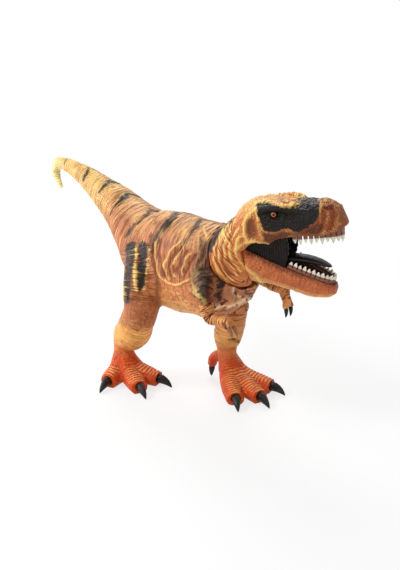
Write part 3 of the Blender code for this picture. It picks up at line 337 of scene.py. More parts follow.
tail_stripes = [
    (1.3, 0.5, [(67.5, 157), (65.5, 161), (63, 166)]),
    (3.0, 0.5, [(90, 167), (86.5, 173.5), (83, 180)]),
    (3.6, 0.5, [(114, 177), (107.5, 183), (103, 187.5), (99, 192.5)]),
    (3.8, 0.6, [(131, 192), (120, 201), (113.5, 208), (110.5, 214)]),
    (3.2, 0.3, [(157, 205), (149, 212.5), (135, 225), (126, 237)]),
    (4.4, 0.2, [(179, 210), (170, 221), (161, 231), (154.5, 240), (152.5, 252)]),
    (4.4, 0.7, [(202, 216), (195, 227.5), (186, 240), (177.5, 254)]),
    (4.8, 0.4, [(229, 219), (220, 230.5), (213, 240), (211, 250)])]
neck_stripes = tail_stripes[-1:]
thigh_stripes = [
    (5.8, 0.2, [(131, 246), (130, 262), (129, 272)]),
    (5.0, 0.3, [(128, 270), (127, 286), (127.5, 301)]),
    (5.8, 0.1, [(143, 245), (142.5, 262), (141.5, 276), (140, 287)])]
shoulder_patches = [
    (8.0, 0.2, [(205, 272), (204.5, 296)]),
    (5.2, 0.3, [(221, 281), (218, 300)]),
    (5.2, 0.4, [(211, 246), (210, 258), (214, 270)])]
shoulder_shade = [(201, 240), (214, 240), (224, 254), (232, 265), (240, 275), (240, 286), (233, 298),
                  (224, 305), (212, 306), (200, 304), (191, 293), (191, 276), (196, 256)]
rib_ridges = [
    [(180, 243), (168.8, 252.5), (163.8, 265), (165, 273.8), (170, 280)],
    [(185, 247), (175, 258.8), (172, 268.8), (176, 276)],
    [(192, 252), (185, 262), (181, 270), (182.5, 276)],
    [(157, 268), (161, 276), (170, 283.8), (180, 284.4), (189, 280), (196, 274)],
    [(155, 242), (155.5, 255), (157, 268.8)],
    [(199, 238), (200, 254), (195, 268)],
    [(205, 228), (208, 242), (205, 258), (199, 272)]]
rib_hollows = [
    [(180, 249), (170.5, 258), (168, 267), (171, 276)],
    [(188, 251), (179.5, 262), (177, 270), (180, 277)],
    [(195, 255), (189, 265), (186, 273)],
    [(158.5, 240), (160, 262), (164, 276)]]
flank_crease = [(151.5, 236), (153.5, 255), (156, 275), (158.5, 295), (160, 306)]
shoulder_ridges = [
    [(196.7, 270), (193.3, 283), (196.7, 295), (206.7, 302)],
    [(215, 280), (213, 295), (217, 306)],
    [(230, 280), (222, 298), (214, 306)]]
breast_ridges = [
    [(212, 311), (220.4, 305.5), (235.5, 304), (247.5, 298), (256.5, 289)],
    [(235.5, 286), (234, 292), (240, 296.5)],
    [(244.5, 284.5), (250.5, 290.5), (255, 284.5)]]
thigh_ridges = [
    [(137.5, 246), (136, 262), (134.5, 277), (137, 290)],
    [(149.5, 250), (148, 265), (146.5, 280), (145, 290)],
    [(124, 268), (123.5, 284), (124, 300)]]
neck_hollows = [
    [(234, 218), (227.5, 231), (222, 245), (222.5, 258), (229, 274)],
    [(238, 224), (231.5, 236), (227, 248), (228.5, 260), (239, 273)],
    [(230, 219), (223.5, 232.5), (217.5, 246), (217, 258), (225, 276)]]
neck_ridges = [
    [(232, 216), (226, 229), (219.5, 243), (219, 256), (223, 268), (233, 279)],
    [(236, 220), (229.5, 233), (224.5, 246), (226, 260), (237, 274)],
    [(239.5, 228), (233.5, 238), (229.5, 248.3), (231, 260.6), (241, 271)],
    [(240, 237), (236, 247), (236.5, 257), (244.5, 267.5), (250, 272)],
    [(228, 222), (221, 236), (215.5, 248), (214.5, 260), (219, 272), (227, 281)]]
cheek_ridge = [(256, 209.5), (248, 216), (244, 224), (244.4, 234), (247.8, 240.5)]
cheek_front_ridge = [(257, 212), (258, 223), (260, 233), (264, 240)]
cheek_hollow = [(248, 220), (252, 217), (255, 223), (257.5, 231), (256, 237), (250, 239), (246.5, 233),
                (246, 226)]
lip_ridge = [(236.7, 249), (244.4, 243), (255.6, 241.2), (264.4, 244.4), (270, 245.6)]
jaw_corner = [(236.5, 249), (238, 258), (246, 268), (256, 276), (262, 283)]
upper_lip = [(270, 245), (280, 241), (292, 236), (305, 234), (318, 236), (332, 231), (342, 222)]
brow_line = [(256, 205), (266, 201), (278, 203), (290, 206.5), (300, 203)]
under_mask = [(262, 232), (275, 233.5), (283, 230), (292, 232), (301, 232), (311, 227), (318, 222),
              (324, 226), (318, 235), (305, 234), (292, 236), (280, 241), (270, 245), (264, 242)]
lower_lip = [(250, 253), (268, 261), (287, 269.5), (312, 277), (337, 284.5)]
arm_pit = [(207, 284), (209, 297), (214, 308)]
near_thigh = [(128, 245), (150, 243), (160, 262), (160, 300), (145, 306), (122, 300), (122, 270)]
thigh_shade = [(124, 246), (148, 242), (151, 262), (148, 284), (139, 296), (130, 304), (122, 302),
               (121, 270)]
near_knee = [(122, 303), (140, 302), (158, 304), (158, 318), (151, 325), (138, 327), (126, 318)]
breast_area = [(212, 284), (226, 280), (240, 277), (254, 275), (261, 286), (256, 302), (240, 314),
               (214, 320)]
belly_area = [(156, 288), (175, 287), (200, 283), (204, 297), (206, 318), (175, 318), (156, 306)]
far_shin_stripes = [(2.6, 0.0, [(229, 340), (238, 341)])]
eye_mask = [(257.8, 203.3), (266.7, 202.8), (277.8, 206.1), (288.9, 208.9), (297.8, 206.7), (303, 201),
            (308, 198), (317.8, 197), (320, 205), (319.4, 213.9), (316.7, 220.6), (308.9, 227.2),
            (300, 232), (293.3, 231.7), (288.9, 229.4), (282.2, 229.8), (275.6, 232.8), (268.9, 232.2),
            (263.3, 229.4), (260.6, 222.8), (257.8, 215), (256.7, 207.2)]
mask_rim_offset = 1.8
mask_rim_width = 0.9
snout_ridges = [
    [(319, 209), (321.8, 216), (321.5, 222), (317, 231)],
    [(320.7, 206), (327.3, 203), (334, 206)],
    [(328.4, 209), (328.3, 218), (324, 231)],
    [(337, 207), (339, 215), (335, 227)]]
snout_hollows = [
    [(324.5, 207), (325.3, 217), (321, 230)],
    [(333, 208), (334, 217), (330, 229)]]
eye_spot = (273.5, 213.5)
eye_rim = 4.6
eye_ring_pitch = 2.6
eye_rings_begin = (4.0, 5.0)
eye_rings_end = (13.0, 17.0)
nostril_spot = (329.5, 208.0)
nostril_squeeze = (0.6, 1.0)
nostril_reach = 2.0
nostril_shade = (1.6, 3.2)


# Folds across the bones. A set of folds has its size across them, how many times longer it is, its
# depth and its noise's seed.

bone_spacing = 3.0 * mm
bend_easing = 4.0 * mm
doubtful_lead = 0.5 * mm
certain_lead = 5.0 * mm
side_way = np.array((0.3, 0.5, 0.2))
fold_sharpness = 3.0
fold_middle = 0.6
crease_width = 0.38
wrinkle_seed = 5.0
wrinkle_shade = 0.8
plain_dry_brush = 0.58


def eased_length(points, bone):
    """Length along a bone, eased over its bends so that rings stay apart on their outer side."""
    samples, lengths = [], []
    walked = 0.0
    for start, end in zip(bone, bone[1:]):
        step = math.dist(start, end)
        count = max(1, round(step / bone_spacing))
        for index in range(count):
            share = (index + 0.5) / count
            samples.append([a + (b - a) * share for a, b in zip(start, end)])
            lengths.append(walked + step * share)
        walked += step
    samples, lengths = np.array(samples), np.array(lengths)
    squares = (points ** 2).sum(axis=1)[:, None] + (samples ** 2).sum(axis=1) - 2.0 * points @ samples.T
    away = np.sqrt(np.maximum(squares, 0.0))
    weights = np.exp((away.min(axis=1)[:, None] - away) / bend_easing)
    return weights @ lengths / weights.sum(axis=1)


def flow_along(points, bones):
    """Length along the nearest bone, and how sure the choice is: 0 where two bones are as near.
    A limb counts only past its root."""
    best = np.full(len(points), far_off)
    second = np.full(len(points), far_off)
    length = np.zeros(len(points))
    for bone in bones:
        away, along = near_line(points, bone)
        if bone is not bones[0]:
            away = np.where(along > 0.0, away, far_off)
        closer = away < best
        second = np.where(closer, best, np.minimum(second, away))
        length = np.where(closer, eased_length(points, bone), length)
        best = np.where(closer, away, best)
    return length, ramp(second - best, doubtful_lead, certain_lead)


def rounded(waves):
    """Folds out of smooth noise: 1 on their rounded tops and 0 in the creases between them."""
    return np.clip(np.abs(waves) * fold_sharpness, 0.0, 1.0)


class Coat:
    """Relief and paint of one skin, gathered vertex by vertex."""

    def __init__(self, piece, node, bones, colour):
        self.piece = piece
        self.node = node
        self.points = places_of(piece.data)
        self.normals = normals_of(piece.data)
        self.length, self.sure = flow_along(self.points, bones)
        self.cross = self.points @ side_way
        blank = np.zeros(len(self.points))
        self.relief = blank.copy()
        self.crease = blank.copy()
        self.black = blank.copy()
        self.scaly = blank.copy()
        self.dry = blank + plain_dry_brush
        self.colour = np.tile(np.array(colour), (len(self.points), 1))

    def press(self, rise, depth, share, shade):
        """Press folds into the skin, and paint shade into the creases between them."""
        self.relief += (rise - fold_middle) * depth * share
        self.paint_crease_shade((1.0 - ramp(rise, 0.0, crease_width)) * share * shade)

    def fold(self, share, size, stretch, depth, seed):
        """Folds across the bones, so many times as long as they are wide."""
        layer = np.full(len(self.points), seed)
        places = np.stack([self.length / size, self.cross / (size * stretch), layer], axis=1)
        self.press(rounded(noisy(places, 1.0)), depth, share * self.sure, 1.0)

    def wrinkle(self, share, size, depth):
        """Crossing wrinkles where the skin follows no one bone."""
        rise = rounded(noisy(self.points, size, wrinkle_seed))
        self.press(rise, depth, share * (1.0 - self.sure), wrinkle_shade)

    def paint(self, colour, share):
        """Blend a colour in."""
        share = np.clip(np.broadcast_to(share, len(self.points)), 0.0, 1.0)[:, None]
        self.colour = self.colour * (1.0 - share) + np.array(colour) * share

    def spray(self, cover):
        """Add black spray."""
        self.black = np.maximum(self.black, cover)

    def paint_crease_shade(self, share):
        """Paint shade into creases and hollows."""
        self.crease = np.clip(np.maximum(self.crease, share), 0.0, 1.0)

    def finish(self):
        """Move the skin by its relief and store what its material reads."""
        room = room_round(self.piece, self.node)
        put_places(self.piece.data, self.points + self.normals * (self.relief * room)[:, None])
        put_attribute(self.piece.data, "spray", self.black, self.scaly, self.dry)
        put_attribute(self.piece.data, "form", self.relief / mm, self.crease, self.sure)
        put_attribute(self.piece.data, "flow", self.length, self.cross)
        put_attribute(self.piece.data, "base", *self.colour.T)
        self.piece.data.materials.clear()
        self.piece.data.materials.append(skin)


# Materials

class Wire:
    """A socket of a material. Sums and products of wires add the maths nodes for them."""

    def __init__(self, paint, socket):
        self.paint = paint
        self.socket = socket

    def maths(self, operation, *others):
        """Maths node on this wire and others."""
        sockets = dict(enumerate((self,) + others))
        return self.paint.add("ShaderNodeMath", {"operation": operation}, sockets)[0]

    def __add__(self, other):
        return self.maths("ADD", other)

    def __sub__(self, other):
        return self.maths("SUBTRACT", other)

    def __mul__(self, other):
        return self.maths("MULTIPLY", other)

    def __truediv__(self, other):
        return self.maths("DIVIDE", other)

    def __neg__(self):
        return self * -1.0

    def __rsub__(self, other):
        return -self + other

    __radd__ = __add__
    __rmul__ = __mul__

    def size(self):
        """The wire without its sign."""
        return self.maths("ABSOLUTE")

    def ramp(self, start, end):
        """Smooth rise from 0 at start to 1 at end."""
        sockets = {"Value": self, "From Min": start, "From Max": end}
        return self.paint.add("ShaderNodeMapRange", {"interpolation_type": "SMOOTHSTEP"}, sockets)[0]


class Paint:
    """A material and the few ways in which its nodes are added."""

    def __init__(self, name, colour, roughness, **values):
        self.material = bpy.data.materials.new(name)
        self.material.use_nodes = True
        self.tree = self.material.node_tree
        self.shader = self.tree.nodes["Principled BSDF"]
        self.material.diffuse_color = (*colour, 1.0)
        self.give(self.shader, {"Base Color": (*colour, 1.0), "Roughness": roughness, **values})

    def give(self, node, sockets):
        """Link wires to a node's sockets, and set plain values on them."""
        for key, value in sockets.items():
            if isinstance(value, Wire):
                self.tree.links.new(value.socket, node.inputs[key])
            else:
                node.inputs[key].default_value = value

    def add(self, kind, settings, sockets):
        """New node, its settings first, then its sockets; returns its outputs as wires."""
        node = self.tree.nodes.new(kind)
        for key, value in settings.items():
            setattr(node, key, value)
        self.give(node, sockets)
        return [Wire(self, output) for output in node.outputs if output.enabled]

    def place(self):
        """Object coordinates."""
        object_output = 3
        return self.add("ShaderNodeTexCoord", {}, {})[object_output]

    def read(self, name):
        """The three numbers of an attribute, and the attribute as a vector."""
        wires = self.add("ShaderNodeAttribute", {"attribute_name": name}, {})
        parts = self.add("ShaderNodeSeparateXYZ", {}, {"Vector": wires[1]})
        return (*parts, wires[1])

    def noise(self, place, scale, detail=2.0, roughness=0.5):
        """Smooth noise from 0 to 1, with so many cells a metre."""
        sockets = {"Vector": place, "Scale": scale, "Detail": detail, "Roughness": roughness}
        return self.add("ShaderNodeTexNoise", {}, sockets)[0]

    def domes(self, place, scale):
        """Rounded scales: 1 on their tops, falling towards the creases between them."""
        steepness = 1.6
        wires = self.add("ShaderNodeTexVoronoi", {"feature": "F1"}, {"Vector": place, "Scale": scale})
        return 1.0 - wires[0] * wires[0] * steepness

    def mix(self, share, first, second):
        """Blend of two colours."""
        colour_factor, first_colour, second_colour = 0, 6, 7
        sockets = {colour_factor: share, first_colour: first, second_colour: second}
        return self.add("ShaderNodeMix", {"data_type": "RGBA"}, sockets)[0]

    def stretch(self, place, scale):
        """A place scaled by unlike amounts along its three directions."""
        return self.add("ShaderNodeVectorMath", {"operation": "MULTIPLY"}, {0: place, 1: scale})[0]

    def scaled(self, vector, factor):
        """A vector or colour times a number."""
        sockets = {"Vector": vector, "Scale": factor}
        return self.add("ShaderNodeVectorMath", {"operation": "SCALE"}, sockets)[0]

    def dot(self, place, way):
        """How far a place lies along a way."""
        return self.add("ShaderNodeVectorMath", {"operation": "DOT_PRODUCT"}, {0: place, 1: way})[0]

    def bump(self, height, distance):
        """Normal of a surface raised by height times distance."""
        return self.add("ShaderNodeBump", {}, {"Height": height, "Distance": distance})[0]

    def set(self, **sockets):
        """Give the shader's sockets their wires."""
        self.give(self.shader, {key.replace("_", " "): value for key, value in sockets.items()})


def rgb(red, green, blue):
    """A colour as a socket takes it."""
    return (red, green, blue, 1.0)


def creased(waves):
    """Fine folds out of a noise: 0 in thin creases, 1 between them."""
    sharpness = 6.5
    return ((waves - 0.5).size() * sharpness).ramp(0.0, 1.0)


def vinyl_skin():
    """Painted vinyl: red-brown creases deepened as painted shade, ridges dry-brushed yellow that also
    stands for painted highlights, striped with black spray.
    """
    crease_shade_brown = rgb(0.130, 0.027, 0.009)
    ridge_yellow_and_highlight = rgb(0.96, 0.68, 0.21)
    spray_black = rgb(0.005, 0.006, 0.004)
    spray_edge_yellow = rgb(0.66, 0.50, 0.06)
    crease_range = (0.28, 1.0)
    ridge_range = (0.38, 0.90)
    spray_range = (0.22, 0.84)
    long_across_the_bones = (1.0, 0.11, 0.0)
    paint = Paint("vinyl_skin", (0.55, 0.2, 0.06), 0.45, **{"Specular IOR Level": 0.2})
    black, scaly, dry, _ = paint.read("spray")
    relief, crease, sure, _ = paint.read("form")
    base = paint.read("base")[3]
    flow = paint.stretch(paint.read("flow")[3], long_across_the_bones)
    place = paint.place()
    blotch = paint.noise(place, scale=120.0, detail=3.0, roughness=0.6)
    speck = paint.noise(place, scale=900.0, detail=3.0, roughness=0.65)
    grain = speck - 0.5
    rings = creased(paint.noise(flow, scale=480.0, detail=2.0, roughness=0.55))
    wrinkles = creased(paint.noise(place, scale=210.0, detail=3.0, roughness=0.6))
    scales = paint.domes(place, scale=520.0).ramp(0.15, 0.95)
    small = (rings * sure + wrinkles * (1.0 - sure)) * (1.0 - scaly) + scales * scaly
    hollow = (1.0 - small) * (0.64 - scaly * 0.36)
    # Crease share: the red-brown of the creases, deepened as painted shade
    deep = (crease + hollow + grain * 0.5 - relief * 0.35).ramp(*crease_range)
    # Ridge share: dry-brushed yellow, lightened so far that it is also a painted highlight
    high = (relief * 0.8 + small * 0.5 + grain * 1.3 - crease * 0.6).ramp(*ridge_range)
    colour = paint.scaled(base, blotch * 0.7 + 0.68)
    colour = paint.mix(deep * (1.2 - dry * 0.8), colour, crease_shade_brown)
    colour = paint.mix(high * dry, colour, ridge_yellow_and_highlight)
    ragged = grain * 0.6 + (blotch - 0.5) * 0.7 - small * 0.25
    cover = (black + ragged * (1.5 - black)).ramp(*spray_range)
    colour = paint.mix(cover * 0.99, colour, spray_black)
    edge = (cover * (1.0 - cover) * 3.6 + cover * 0.05) * high * dry
    colour = paint.mix(edge, colour, spray_edge_yellow)
    rough = 0.40 - cover * 0.06 + grain * 0.2
    normal = paint.bump(small * 0.8 + speck * 0.2, distance=0.9 * mm)
    paint.set(Base_Color=colour, Roughness=rough, Normal=normal)
    return paint.material


def glossy_black(name, blotch_scale):
    """Black vinyl with a half gloss and fine grooves."""
    paint = Paint(name, (0.010, 0.008, 0.007), 0.3, **{"Specular IOR Level": 0.25})
    place = paint.place()
    speck = paint.noise(place, scale=800.0, detail=3.0)
    blotch = paint.noise(place, scale=blotch_scale)
    colour = paint.mix(blotch.ramp(0.35, 0.75), rgb(0.005, 0.004, 0.004), rgb(0.020, 0.013, 0.010))
    normal = paint.bump(speck, distance=0.2 * mm)
    paint.set(Base_Color=colour, Roughness=0.27 + speck * 0.22, Normal=normal)
    return paint.material


def ribbed_black(rib):
    """Black lining pressed into upright ribs that wander a little."""
    sway = 2.0 * mm
    paint = Paint("lining_black", (0.012, 0.009, 0.010), 0.38, **{"Specular IOR Level": 0.15})
    place = paint.place()
    along = paint.dot(place, tuple(head_forward)) + (paint.noise(place, scale=90.0) - 0.5) * sway
    wave = (along * (2.0 * math.pi / rib)).maths("SINE") * 0.5 + 0.5
    speck = paint.noise(place, scale=700.0, detail=3.0)
    uneven = wave * paint.noise(place, scale=160.0).ramp(0.35, 0.7)
    colour = paint.mix(uneven, rgb(0.004, 0.003, 0.003), rgb(0.045, 0.026, 0.022))
    normal = paint.bump(uneven + speck * 0.2, distance=0.8 * mm)
    paint.set(Base_Color=colour, Roughness=0.34 + speck * 0.2, Normal=normal)
    return paint.material


def brown_claw():
    """Near hand's claws, painted over in mottled skin brown."""
    paint = Paint("claw_brown", (0.26, 0.09, 0.035), 0.35)
    speck = paint.noise(paint.place(), scale=600.0, detail=3.0)
    colour = paint.mix(speck, rgb(0.16, 0.045, 0.018), rgb(0.42, 0.17, 0.06))
    normal = paint.bump(speck, distance=0.2 * mm)
    paint.set(Base_Color=colour, Roughness=0.3 + speck * 0.2, Normal=normal)
    return paint.material


def ivory_teeth():
    """Ivory teeth that darken to red-brown gums at their roots and on their inner side."""
    gum_brown = rgb(0.20, 0.052, 0.02)
    inner_brown = rgb(0.12, 0.05, 0.03)
    paint = Paint("ivory_teeth", (0.74, 0.68, 0.52), 0.25, **{"Coat Weight": 0.25})
    root, inner, _, _ = paint.read("tooth")
    speck = paint.noise(paint.place(), scale=700.0, detail=3.0)
    colour = paint.mix(speck, rgb(0.90, 0.86, 0.74), rgb(0.74, 0.66, 0.48))
    colour = paint.mix((root + (speck - 0.5) * 0.5).ramp(0.3, 0.75), colour, gum_brown)
    colour = paint.mix(inner * 0.75, colour, inner_brown)
    normal = paint.bump(speck, distance=0.12 * mm)
    paint.set(Base_Color=colour, Roughness=0.24 + speck * 0.15, Normal=normal)
    return paint.material


lining_rib = 2.3 * mm
skin = vinyl_skin()
claw_black = glossy_black("claw_black", blotch_scale=300.0)
mouth_black = glossy_black("mouth_black", blotch_scale=120.0)
lining_black = ribbed_black(lining_rib)
claw_brown = brown_claw()
teeth_ivory = ivory_teeth()

# Paint colours of the skin's regions, among them colours of painted light and painted shade
flank_orange = (0.61, 0.21, 0.076)
tail_lit_orange = (0.82, 0.49, 0.17)
tip_highlight_yellow = (0.93, 0.80, 0.38)
back_top_light_tan = (0.90, 0.56, 0.26)
belly_peach = (0.88, 0.45, 0.14)
breast_highlight_white = (0.92, 0.72, 0.50)
painted_shade_brown = (0.095, 0.022, 0.010)
breast_rust = (0.52, 0.20, 0.09)
thigh_orange = (0.56, 0.19, 0.06)
far_thigh_brown = (0.66, 0.24, 0.08)
knee_rust = (0.46, 0.145, 0.05)
calf_lit_yellow = (1.0, 0.47, 0.13)
foot_orange = (0.60, 0.066, 0.005)
shin_rust = (0.95, 0.41, 0.13)
neck_orange = (0.72, 0.225, 0.062)
crown_top_light_tan = (0.76, 0.42, 0.15)
face_orange = (0.55, 0.168, 0.046)
cheek_shade_brown = (0.10, 0.026, 0.011)
snout_shade_orange = (0.34, 0.085, 0.024)
jaw_orange = (0.58, 0.15, 0.05)
lip_yellow = (0.84, 0.58, 0.16)
scute_highlight_cream = (0.95, 0.55, 0.20)


# The body's skin: its folds, its relief, and the heights, distances and lengths between which its
# regions fade

body_cell = 1.15 * mm
body_bend = dict(size=11.0 * mm, reach=2.2)
stripe_wander = dict(size=6.0 * mm, reach=2.2)
trunk_wrinkles = dict(size=5.0 * mm, depth=0.7 * mm)
trunk_rings = dict(size=3.4 * mm, stretch=5.0, depth=0.75 * mm, seed=1.0)
thigh_rings = dict(size=2.5 * mm, stretch=3.0, depth=0.6 * mm, seed=7.0)
rib_height = 1.3 * mm
rib_hollow_depth = 1.2 * mm
muscle_height = 1.1 * mm
thigh_fold_height = 0.8 * mm
flank_groove_depth = 1.2 * mm
body_swell = dict(size=11.0 * mm, seed=4.0)
body_swell_height = 0.45 * mm
breast_lumps = dict(size=4.0 * mm, seed=2.5)
breast_lump_height = 0.8 * mm
crest_width = 3.2 * mm
crest_pitch = 4.2 * mm
crest_height = 0.45 * mm
crest_notch = 0.4 * mm
thigh_heights = (112.0 * mm, 128.0 * mm)
thigh_distances = (21.0 * mm, 27.0 * mm)
tail_lengths = (130.0 * mm, 190.0 * mm)
tip_lengths = (15.0 * mm, 65.0 * mm)
pale_tip_lengths = (30.0 * mm, 70.0 * mm)


def body_areas(coat, back_bone, right_bone, left_bone):
    """The body's regions and drawn folds, each as a share at every vertex."""
    points, normals = coat.points, coat.normals
    low = 1.0 - ramp(points[:, 2], *thigh_heights)
    near_left = 1.0 - ramp(near_line(points, left_bone)[0], *thigh_distances)
    near_right = 1.0 - ramp(near_line(points, right_bone)[0], *thigh_distances)
    left_leg = low * near_left * (points[:, 1] > middle_plane)
    folded = across_middle(points, (0.0, middle_plane, 0.0), (0.0, 1.0, 0.0))
    folded[left_leg > 0.5] = points[left_leg > 0.5]
    spots = spots_of(folded)
    bent = spots + wander_of(points, **body_bend)
    mirrored = normals * np.where((points[:, 1] > middle_plane)[:, None], (1.0, -1.0, 1.0), 1.0)
    trunk = (1.0 - left_leg) * ramp(mirrored @ np.array(to_camera), -0.1, 0.2)
    along = near_line(points, back_bone)[1]
    return SimpleNamespace(
        spots=spots,
        bent=bent,
        wander=wander_of(points, **stripe_wander),
        along=along,
        trunk=trunk,
        tail=1.0 - ramp(along, *tail_lengths),
        under=ramp(-normals[:, 2], 0.1, 0.8),
        left_leg=left_leg,
        right_leg=low * near_right * (points[:, 1] < middle_plane),
        knee=inside(bent, near_knee, soft=3.0) * trunk,
        shade=inside(bent, shoulder_shade, soft=4.5) * trunk,
        breast=inside(bent, breast_area, soft=5.0) * trunk,
        belly=inside(bent, belly_area, soft=5.0) * trunk,
        ribs=ridges(bent, rib_ridges, wide=1.05),
        hollows=ridges(bent, rib_hollows, wide=1.5),
        thigh_folds=ridges(bent, thigh_ridges, wide=1.9),
        groove=ridge(bent, flank_crease, wide=1.9))


def press_body(coat, area):
    """Ribs, muscles, folds and the back's notched crest, with painted shade in hollows, groove and
    armpit.
    """
    points, normals = coat.points, coat.normals
    muscles = ridges(area.bent, shoulder_ridges + breast_ridges, wide=1.8)
    lumps = noisy(points, **breast_lumps)
    raised = area.ribs * rib_height + muscles * muscle_height + area.thigh_folds * thigh_fold_height
    pressed = area.hollows * rib_hollow_depth + area.groove * flank_groove_depth
    coat.relief += (raised - pressed) * area.trunk
    coat.relief += noisy(points, **body_swell) * body_swell_height
    coat.relief += lumps * breast_lump_height * area.breast
    coat.sure *= (1.0 - 0.8 * area.knee) * (1.0 - 0.75 * area.belly)
    coat.wrinkle((1.0 - area.left_leg) * (1.0 - area.knee), **trunk_wrinkles)
    coat.fold((1.0 - area.left_leg) * (0.55 + 0.45 * area.tail), **trunk_rings)
    coat.fold(np.maximum(area.left_leg, area.right_leg * 0.4), **thigh_rings)
    crest = np.exp(-((points[:, 1] - middle_plane) / crest_width) ** 2) * ramp(normals[:, 2], 0.3, 0.8)
    notches = np.sin(area.along * 2.0 * math.pi / crest_pitch) * crest_notch
    coat.relief += crest * (crest_height + notches)
    coat.paint_crease_shade(0.8 * ramp(-lumps, 0.1, 0.5) * area.breast)
    coat.paint_crease_shade(area.trunk * (area.hollows * 0.45 + area.groove * 0.9))
    coat.paint_crease_shade(ridge(area.bent, arm_pit, wide=2.4) * area.trunk * 0.9)
    coat.crease *= (1.0 - 0.8 * area.knee) * (1.0 - 0.25 * area.tail)


def paint_body(coat, area):
    """Regions of paint from back to belly, with painted light on back and tail, painted shade on thigh
    and shoulder, painted highlights on the breast's ridges, and the sprayed stripes of tail, thigh and
    shoulder.
    """
    bent, trunk, tail = area.bent, area.trunk, area.tail
    # Painted top light: the back's upward faces lighter tan, on top of its paler paint
    coat.paint(back_top_light_tan, 0.55 * ramp(coat.normals[:, 2], 0.3, 0.9) * (1.0 - tail))
    # The tail paler orange and its tip pale yellow: their paint, brightened further as painted light
    coat.paint(tail_lit_orange, tail)
    coat.paint(belly_peach, 0.75 * area.under * (1.0 - area.left_leg) * (1.0 - area.breast))
    coat.paint(tip_highlight_yellow, 1.0 - ramp(area.along, *tip_lengths))
    near_thigh_share = 0.8 * inside(bent, near_thigh, soft=5.0) * trunk
    coat.paint(thigh_orange, np.maximum(near_thigh_share, 0.7 * area.right_leg))
    # Painted shade: a soft dark brown over the near thigh
    coat.paint(painted_shade_brown, 0.5 * inside(bent, thigh_shade, soft=3.5) * trunk)
    coat.paint(knee_rust, 0.9 * area.knee)
    coat.paint(far_thigh_brown, area.left_leg)
    # Painted shade: dark brown over the shoulder and the chest below the head
    coat.paint(painted_shade_brown, 0.94 * area.shade)
    coat.paint(breast_rust, 0.85 * area.breast)
    # Painted highlights: whitish lines along the breast's ridges
    coat.paint(breast_highlight_white, 0.75 * ridges(bent, breast_ridges, wide=1.1) * trunk)
    coat.paint(lip_yellow, 0.1 * area.ribs * trunk * (1.0 - area.shade))
    wandering = area.spots + area.wander
    steady = area.spots + area.wander * (1.0 - 0.6 * tail)[:, None]
    ragged = area.spots + area.wander * 1.4
    bare_ridges = 1.0 - 0.5 * ridges(wandering, thigh_ridges, wide=1.0)
    coat.spray((0.76 + 0.14 * tail) * sprayed(steady, tail_stripes, soft=2.5) * trunk)
    coat.spray(0.82 * sprayed(wandering, thigh_stripes, soft=2.8) * trunk * bare_ridges)
    coat.spray(0.74 * sprayed(ragged, shoulder_patches, soft=4.4) * trunk)
    coat.scaly += np.clip(0.4 * area.belly + 0.2 * area.under * (1.0 - area.left_leg), 0.0, 0.5)
    # More ridge yellow along the tail and at its tip, partly painted highlight; less on the far leg,
    # breast, shoulder shade and knee
    coat.dry += 0.3 * tail + 0.5 * (1.0 - ramp(area.along, *pale_tip_lengths))
    coat.dry += 0.35 * area.belly + 0.4 * area.thigh_folds * trunk
    coat.dry -= 0.3 * area.left_leg + 0.3 * area.breast + 0.45 * area.shade + 0.3 * area.knee


def make_body():
    """Skin of tail, trunk, thighs and upper arms."""
    piece = fine_copy("body_shell", "body_skin", body_cell, smoothing=4)
    back_bone = in_middle_plane(spine)
    right_bone = from_hips(right_thigh)
    left_bone = from_hips(left_thigh)
    bones = [back_bone, right_bone, left_bone, from_hips(right_arm[:2]), from_hips(left_arm[:2])]
    coat = Coat(piece, "body_shell", bones, flank_orange)
    area = body_areas(coat, back_bone, right_bone, left_bone)
    press_body(coat, area)
    paint_body(coat, area)
    coat.finish()


# The head's skin: its folds, its relief, and the lengths ahead of its place between which its
# regions fade

head_cell = 0.75 * mm
face_wander = dict(size=8.0 * mm, reach=1.0)
mask_wander = dict(size=2.5 * mm, reach=1.0)
neck_stripe_wander = dict(size=6.0 * mm, reach=2.0)
neck_folds = dict(size=2.3 * mm, stretch=6.0, depth=0.8 * mm, seed=3.0)
broken_yellow = dict(size=3.5 * mm, seed=5.5)
bridge_blotches = dict(size=6.0 * mm, seed=1.5)
neck_ridge_height = 1.1 * mm
cheek_height = 1.0 * mm
cheek_front_height = 0.7 * mm
lip_height = 0.9 * mm
upper_lip_height = 0.5 * mm
brow_height = 0.9 * mm
eye_ring_height = 0.32 * mm
snout_ridge_height = 0.5 * mm
snout_hollow_depth = 0.4 * mm
nostril_depth = 0.7 * mm
snout_knobs = dict(size=3.8 * mm, seed=6.0)
snout_knob_height = 1.3 * mm
snout_top_lift = 0.4 * mm
crown_knobs = dict(size=2.8 * mm, seed=9.0)
crown_knob_height = 0.7 * mm
head_swell = dict(size=6.0 * mm, seed=2.0)
head_swell_height = 0.45 * mm
neck_lengths = (-8.0 * mm, 2.0 * mm)
crown_lengths = (22.0 * mm, 36.0 * mm)
snout_top_lengths = (30.0 * mm, 42.0 * mm)
snout_lengths = (44.0 * mm, 58.0 * mm)
bridge_begin = (44.0 * mm, 50.0 * mm)
bridge_end = (56.0 * mm, 62.0 * mm)
far_top_widths = (0.0, 4.0 * mm)
far_top_lengths = (40.0 * mm, 46.0 * mm)


def face_spots(points):
    """Spots of the head's points, those of its far side brought over, with a little wander."""
    return spots_of(across_middle(points, head_place, head_left)) + wander_of(points, **face_wander)


